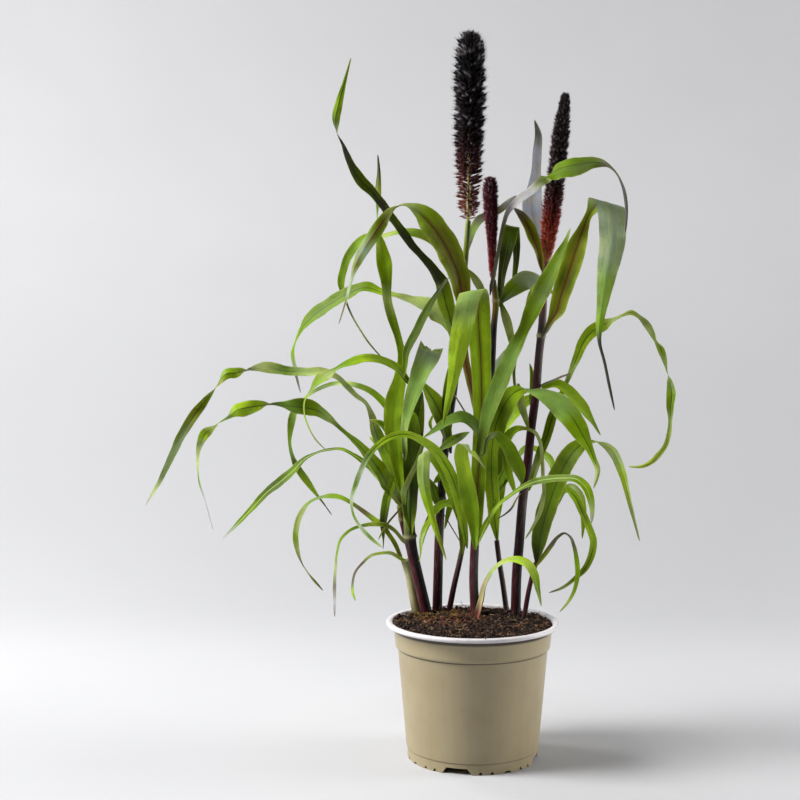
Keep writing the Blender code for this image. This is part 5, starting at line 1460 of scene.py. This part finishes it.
def blade_part(name, base_depth, tip_depth, rib, letters, rows):
    """Closed rings of points along a blade, with tones for both faces."""
    dice = random.Random(name)
    centres, sides, widths, folds = blade_stations(base_depth, tip_depth, rows)
    along = lengths_along(centres)
    length = along[-1]
    where = np.concatenate([-BLADE_STEP * np.arange(FOOT_STEPS, 0, -1),
                            np.linspace(0.0, length, int(length / BLADE_STEP) + 2)])
    middle, side, forward, normal, half = blade_frame(along, centres, sides, widths, where)
    toward = np.sum(normal * unit(np.array(EYE) - middle), axis=1)
    row_toward = [toward[np.argmin(np.abs(where - a))] for a in along]

    across = np.array(WIDE_ACROSS if widths.max() > BROAD else THIN_ACROSS)
    channel_side = 1.0 if row_toward[min(2, len(rows) - 1)] > 0.0 else -1.0
    opened = np.clip(where / CHANNEL_OPENS, 0.0, 1.0) ** CHANNEL_EASE
    channel = np.tan(np.radians(CHANNEL_LOW + (CHANNEL_HIGH - CHANNEL_LOW) * opened))
    channel *= 1.0 - FOLD_FLATTENS * np.interp(where, along, folds)
    lift = np.sqrt(across ** 2 + CHANNEL_ROUND) - math.sqrt(CHANNEL_ROUND)
    rise = half[:, None] * (channel_side * channel[:, None] * lift[None, :] + edge_waves(dice, where, across))
    narrowing = np.clip(1.0 + where / (FOOT_STEPS * BLADE_STEP) * FOOT_NARROWS, FOOT_WIDTH, 1.0)
    if name not in TORN:
        narrowing = narrowing * np.clip((length - where) / TIP_LENGTH, TIP_WIDTH, 1.0)
    out = (half * narrowing)[:, None] * across[None, :]
    rise *= narrowing[:, None]
    sheet = middle[:, None] + side[:, None] * out[..., None] + normal[:, None] * rise[..., None]
    if name in TORN:
        reach = np.exp(-((length - where) / TORN_REACH) ** 2)
        sheet += forward[:, None] * (reach[:, None] * np.array(TORN[name])[None, :] * MM)[..., None]
    ridge = np.exp(-(out / MM / RIB_HALF) ** 2) * np.minimum(half / MM / RIB_FULL, 1.0)[:, None]
    thick = THICKNESS / 2 * (1.0 - across ** EDGE_POWER)[None, :] * (1.0 + RIB_THICKER * ridge)
    front = sheet + normal[:, None] * thick[..., None]
    back = sheet - normal[:, None] * thick[..., None]
    rings = np.concatenate([front, back[:, -2:0:-1]], axis=1)

    counts = (len(across), rings.shape[1] - len(across))
    (front_tones, front_rib), (back_tones, back_rib) = face_tones(letters, row_toward)
    tones = round_the_ring(along, where, front_tones, back_tones, counts)
    ribbed = round_the_ring(along, where, front_rib, back_rib, counts)[..., 0]
    if rib == "none":
        ribbed *= FAINT_RIB
    ribbed *= np.clip(half / MM / RIB_NEEDS, 0.0, 1.0)[:, None]
    leaf = np.zeros(rings.shape)
    leaf[..., 0] = np.concatenate([across, across[-2:0:-1]])[None, :]
    leaf[..., 1] = where[:, None] * CM_PER_METRE + dice.uniform(0.0, PATTERN_SHIFT)
    leaf[..., 2] = half[:, None] / MM
    return rings, tones, leaf, ribbed


print("points round a broad blade:", 2 * len(WIDE_ACROSS) - 2)

# %% [markdown]
# The young shoot in front is a pointed red sheath with its first blade, so it is a short tapering
# tube and a blade in one mesh. All the others are one blade each.

# %% Blade pieces
FACE_SHARP = 60.0
leaf_looks = {}
for kind, rib_tone in RIB_TONES.items():
    leaf_looks[kind] = streaked("leaf_" + kind + "_rib", 0.46, 1.6, 0.45, 0.0, linear(*rib_tone),
                                0.55 if kind == "maroon" else 0.0)
SPROUT_SHEATH = (4.8, 1.6, "rrtpp", "rrtpp", [
    (4, 157, 7), (6, 163, 6), (9, 173, 5), (13, 190, 4), (20, 202, 4)], [])
blade_triangles = 0
for name, blade in BLADES.items():
    parts = [blade_part(name, *blade)]
    if name == "sprout":
        parts.append(shoot_part(*SPROUT_SHEATH))
    title = "young_sprout" if name == "sprout" else "leaf_" + name[6:]
    mesh = ringed_mesh(title, parts)
    mesh.set_sharp_from_angle(angle=math.radians(FACE_SHARP))
    finished(title, mesh, [leaf_looks[blade[2]]], "blade", name)
    blade_triangles += triangles(mesh)
for kind in ("dark", "none"):
    parts = [blade_part(name, *blade) for name, blade in SMALL_LEAVES.items() if blade[2] == kind]
    mesh = ringed_mesh("small_leaves_" + kind, parts)
    finished("small_leaves_" + kind, mesh, [leaf_looks[kind]], "blade")
    blade_triangles += triangles(mesh)
print("leaves:", len(BLADES) + len(SMALL_LEAVES), "with", blade_triangles, "triangles")

# %% [markdown]
# ## The spikes
# A millet spike is hundreds of small spikelets set in a spiral round a stiff stalk, each a grain
# in a whorl of bristles. Their number makes it a case for Geometry Nodes: points on a line, each
# turned by the golden angle, carry one spikelet that is scaled to reach the spike's outline there.
# The outline is a curve through the measured radii, so spike and plain solid have one shape.

# %% Spike tree
GOLDEN_ANGLE = 2.39996
GOLDEN_SHARE = 0.618
BRISTLES = 9
# Of a spikelet a unit long: the grain's height and half sizes, the bristles' thickness, the least
# and the further spread in radians, and the least and the further reach.
GRAIN_UP = (0.0, 0.0, 0.60)
GRAIN_SIZE = (0.066, 0.058, 0.17)
BRISTLE_THICK = 0.026
SPREAD = (0.03, 0.15)
REACH = (0.80, 0.22)
# Tilt of the topmost spikelets and how suddenly it comes, how much each differs, and where along
# the spike its bare foot fades out.
TOP_TILT = 1.3
TOP_POWER = 8.0
TILT_VARIES = 0.12
TURN_VARIES = 0.25
BARE_FROM = 0.18
BARE_TO = 0.46


def spikelet(graph):
    """One spikelet a unit long: a grain near the end and bristles that spread past it."""
    grain = graph.add("GeometryNodeMeshUVSphere", None, {"Segments": 6, "Rings": 4, "Radius": 1.0})
    parts = [graph.add("GeometryNodeTransform", None,
                       {"Geometry": grain, "Translation": GRAIN_UP, "Scale": GRAIN_SIZE})]
    bristle = graph.add("GeometryNodeMeshCone", {"fill_type": "NONE"},
                        {"Vertices": 3, "Radius Top": 0.0, "Radius Bottom": BRISTLE_THICK, "Depth": 1.0})
    for i in range(BRISTLES):
        spread = SPREAD[0] + SPREAD[1] * (i * GOLDEN_SHARE % 1.0)
        reach = REACH[0] + REACH[1] * (i * (1.0 - GOLDEN_SHARE) % 1.0)
        parts.append(graph.add("GeometryNodeTransform", None,
                               {"Geometry": bristle, "Rotation": (spread, 0.0, i * GOLDEN_ANGLE),
                                "Scale": (1.0, 1.0, reach)}))
    joined = graph.add("GeometryNodeJoinGeometry", None, {"Geometry": parts})
    return keep(graph, joined, "tip", graph.axes(graph.add("GeometryNodeInputPosition"))[2], "POINT")


def spike_tree(name, look, outline, sizes):
    """Spikelets in a spiral up a line, each long enough to reach the outline at its height."""
    tree = bpy.data.node_groups.new(name, "GeometryNodeTree")
    graph, given = shape_inputs(tree, sizes)
    seed = given["Seed"]
    step = given["Length"] / given["Tufts"] * given["Filled"]
    line = graph.add("GeometryNodeMeshLine", {"mode": "OFFSET"},
                     {"Count": given["Tufts"], "Offset": graph.vector(0.0, 0.0, step)})
    index = graph.add("GeometryNodeInputIndex")
    share = index / given["Tufts"]
    radius = graph.add("ShaderNodeFloatCurve", {"points": outline}, {"Value": share}) * given["Radius"]
    turn = index * GOLDEN_ANGLE + chance(graph, -TURN_VARIES, TURN_VARIES, seed)
    east = turn.maths("COSINE")
    north = turn.maths("SINE")
    tilt = given["Tilt"] + share ** TOP_POWER * (TOP_TILT - given["Tilt"])
    tilt = tilt + chance(graph, -TILT_VARIES, TILT_VARIES, seed + 1.0)
    flat = tilt.maths("COSINE")
    direction = graph.vector(east * flat, north * flat, tilt.maths("SINE"))
    core = given["Core"].maths("MINIMUM", radius * 0.5)
    seats = graph.add("GeometryNodeSetPosition", None,
                      {"Geometry": line, "Offset": graph.vector(east * core, north * core, 0.0)})
    reach = (radius - core) / flat.maths("MAXIMUM", 0.5) * chance(graph, 0.80, 1.20, seed + 2.0)
    bare = (1.0 - share.fade(BARE_FROM, BARE_TO)) * given["Bare"]
    kept = graph.add("FunctionNodeCompare", {"data_type": "FLOAT", "operation": "GREATER_THAN"},
                     {"A": chance(graph, 0.0, 1.0, seed + 3.0), "B": bare})
    tufts = graph.add("GeometryNodeInstanceOnPoints", None,
                      {"Points": seats, "Selection": kept, "Instance": spikelet(graph),
                       "Rotation": facing(graph, direction), "Scale": graph.vector(reach, reach, reach)})
    tufts = keep(graph, tufts, "share", share, "INSTANCE")
    tufts = keep(graph, tufts, "shade", chance(graph, 0.0, 1.0, seed + 4.0), "INSTANCE")
    joined = graph.add("GeometryNodeJoinGeometry", None, {"Geometry": [given["Geometry"], tufts]})
    end_tree(graph, joined, look)
    return tree


print("bristles of a spikelet:", BRISTLES)

# %% [markdown]
# The colour runs along the spike: straw and red where it leaves the sheath, maroon, then nearly
# black. Single spikelets differ a little, and their bristle tips are paler and catch the light, so
# each of the three spikes has its own ramp, the same random shade, a paler tip that is partly the
# bristles' own colour and partly painted highlight, and painted glints on a few spikelets.

# %% Spike finish
PAINTED_GLINT = linear(176, 166, 168)
BRISTLE_SCALE = 500.0
FUZZ_SCALE = 1200.0


def spike_finish(name, ramp, stalk, tips, tip_share, glints):
    """Colour by height, spikelet and distance to the bristle tips, with painted highlights on the tips."""
    look, graph, shader = new_look(name, 0.7)
    where = graph.place()
    share, shade, tip, on_stalk = [graph.attribute(word) for word in ("share", "shade", "tip", "stalk")]
    body = graph.add("ShaderNodeValToRGB", {"stops": [(p, linear(*c)) for p, c in ramp]},
                     {"Fac": share + (shade - 0.5) * 0.10})
    varied = graph.scaled(body, 0.4 + 1.2 * shade)
    # Paler bristle tips: partly their own colour, partly painted highlight.
    paler = tip.fade(0.70, 1.0) * (0.3 + 0.7 * graph.grain(where, BRISTLE_SCALE))
    varied = graph.blend(varied, linear(*tips), paler * tip_share)
    # Painted highlight: a few spikelets get pale grey bristle tips.
    painted_glint_mask = shade.fade(0.76, 0.90) * tip.fade(0.45, 0.9)
    varied = graph.blend(varied, PAINTED_GLINT, painted_glint_mask * glints)
    varied = graph.blend(varied, linear(*stalk), on_stalk)
    feed(graph, shader, "Base Color", varied)
    shader.inputs["Specular IOR Level"].default_value = 0.15
    roughen(graph, shader, graph.grain(where, FUZZ_SCALE), 0.3, 0.0004)
    return look


# Seen place of the bottom and the top, radii in millimetres by share of the height, the sizes for
# the tree, the ramp, the colours of stalk and bristle tips, how strongly the paler tips and the
# painted glints show, and how thick the stalk is beside the core.
SPIKES = {
    "spike_tall": ((-6, 588, 11), (-4, 787, 2),
                   [(0.0, 8.5), (0.03, 12.5), (0.23, 17.0), (0.37, 18.5), (0.71, 20.0), (0.85, 18.4),
                    (0.9, 16.5), (0.93, 13.8), (0.96, 9.6), (0.98, 7.2), (1.0, 5.6)],
                   {"Core": 0.0020, "Tufts": 1300, "Tilt": 0.30, "Bare": 0.5, "Filled": 0.985, "Seed": 11},
                   [(0.0, (108, 54, 36)), (0.12, (70, 28, 27)), (0.24, (36, 14, 19)), (0.36, (16, 8, 13)),
                    (0.6, (8, 5, 8)), (1.0, (7, 5, 8))], (196, 188, 120), (42, 32, 36), 0.35, 0.5, 1.0),
    "spike_small": ((21, 524, -3), (17, 636, -8),
                    [(0.0, 4.0), (0.11, 5.2), (0.28, 6.0), (0.5, 8.0), (0.71, 9.4), (0.8, 9.6),
                     (0.86, 9.0), (0.9, 7.8), (0.95, 5.0), (1.0, 2.2)],
                    {"Core": 0.0016, "Tufts": 1400, "Tilt": 0.62, "Bare": 0.0, "Filled": 0.97, "Seed": 23},
                    [(0.0, (170, 14, 44)), (0.3, (90, 9, 27)), (0.7, (66, 12, 25)), (1.0, (56, 16, 30))],
                    (120, 60, 50), (134, 50, 68), 0.30, 0.40, 1.5),
    "spike_right": ((78, 543, 2), (98, 720, -4),
                    [(0.0, 5.0), (0.16, 10.6), (0.33, 12.0), (0.58, 11.0), (0.74, 11.0), (0.83, 9.2),
                     (0.92, 6.9), (0.96, 5.8), (0.985, 4.8), (1.0, 3.2)],
                    {"Core": 0.0020, "Tufts": 2200, "Tilt": 0.48, "Bare": 0.0, "Filled": 1.0, "Seed": 37},
                    [(0.0, (160, 78, 44)), (0.16, (150, 50, 26)), (0.32, (74, 16, 20)), (0.44, (26, 11, 16)),
                     (1.0, (11, 9, 13))], (150, 100, 60), (190, 112, 84), 0.35, 0.35, 2.0),
}
print("spikes:", list(SPIKES))

# %% [markdown]
# Each spike is grown straight up from the origin, with the stalk as the tree's own geometry. The
# finished mesh is then moved to the spike's foot and leaned along its line.

# %% Spike pieces
STALK_SIDES = 12
STALK_FOOT = 0.006
STALK_SHOWS = 0.3
# Of the stalk: share of its radius by share of the spike's length.
TAPER = [(0.9, 0.28), (0.85, 0.75), (0.4, 0.94), (0.0, 0.95)]


def stalk_mesh(name, length, radius):
    """The stiff stalk in the middle, a tapering rod with a mark for the finish to know it by."""
    profile = [(0.0, -STALK_FOOT), (radius, -STALK_FOOT)]
    profile += [(radius * narrower, length * height) for narrower, height in TAPER]
    rod = turned_mesh(name, profile, even_angles(STALK_SIDES))
    heights = [max(0.0, v.co.z / length) for v in rod.vertices]
    mark(rod, "share", "FLOAT", heights)
    mark(rod, "stalk", "FLOAT", [height < STALK_SHOWS for height in heights])
    return rod


for name, (bottom, top, radii, sizes, *colours, stalk_share) in SPIKES.items():
    start = seen_at(*bottom)
    along = seen_at(*top) - start
    sizes = dict(sizes, Length=along.length, Radius=max(r for _, r in radii) * MM)
    outline = [(share, r * MM / sizes["Radius"]) for share, r in radii]
    look = spike_finish(name + "_bristles", *colours)
    stalk = stalk_mesh(name, along.length, sizes["Core"] * stalk_share)
    mesh = run_tree(spike_tree(name + "_tufts", look, outline, sizes), stalk, sizes)
    mesh.transform(Matrix.Translation(start) @ along.to_track_quat("Z", "Y").to_matrix().to_4x4())
    mesh.shade_smooth()
    finished(name + "_tufts", mesh, [look], "spike", name)
    print(name, triangles(mesh), "triangles")
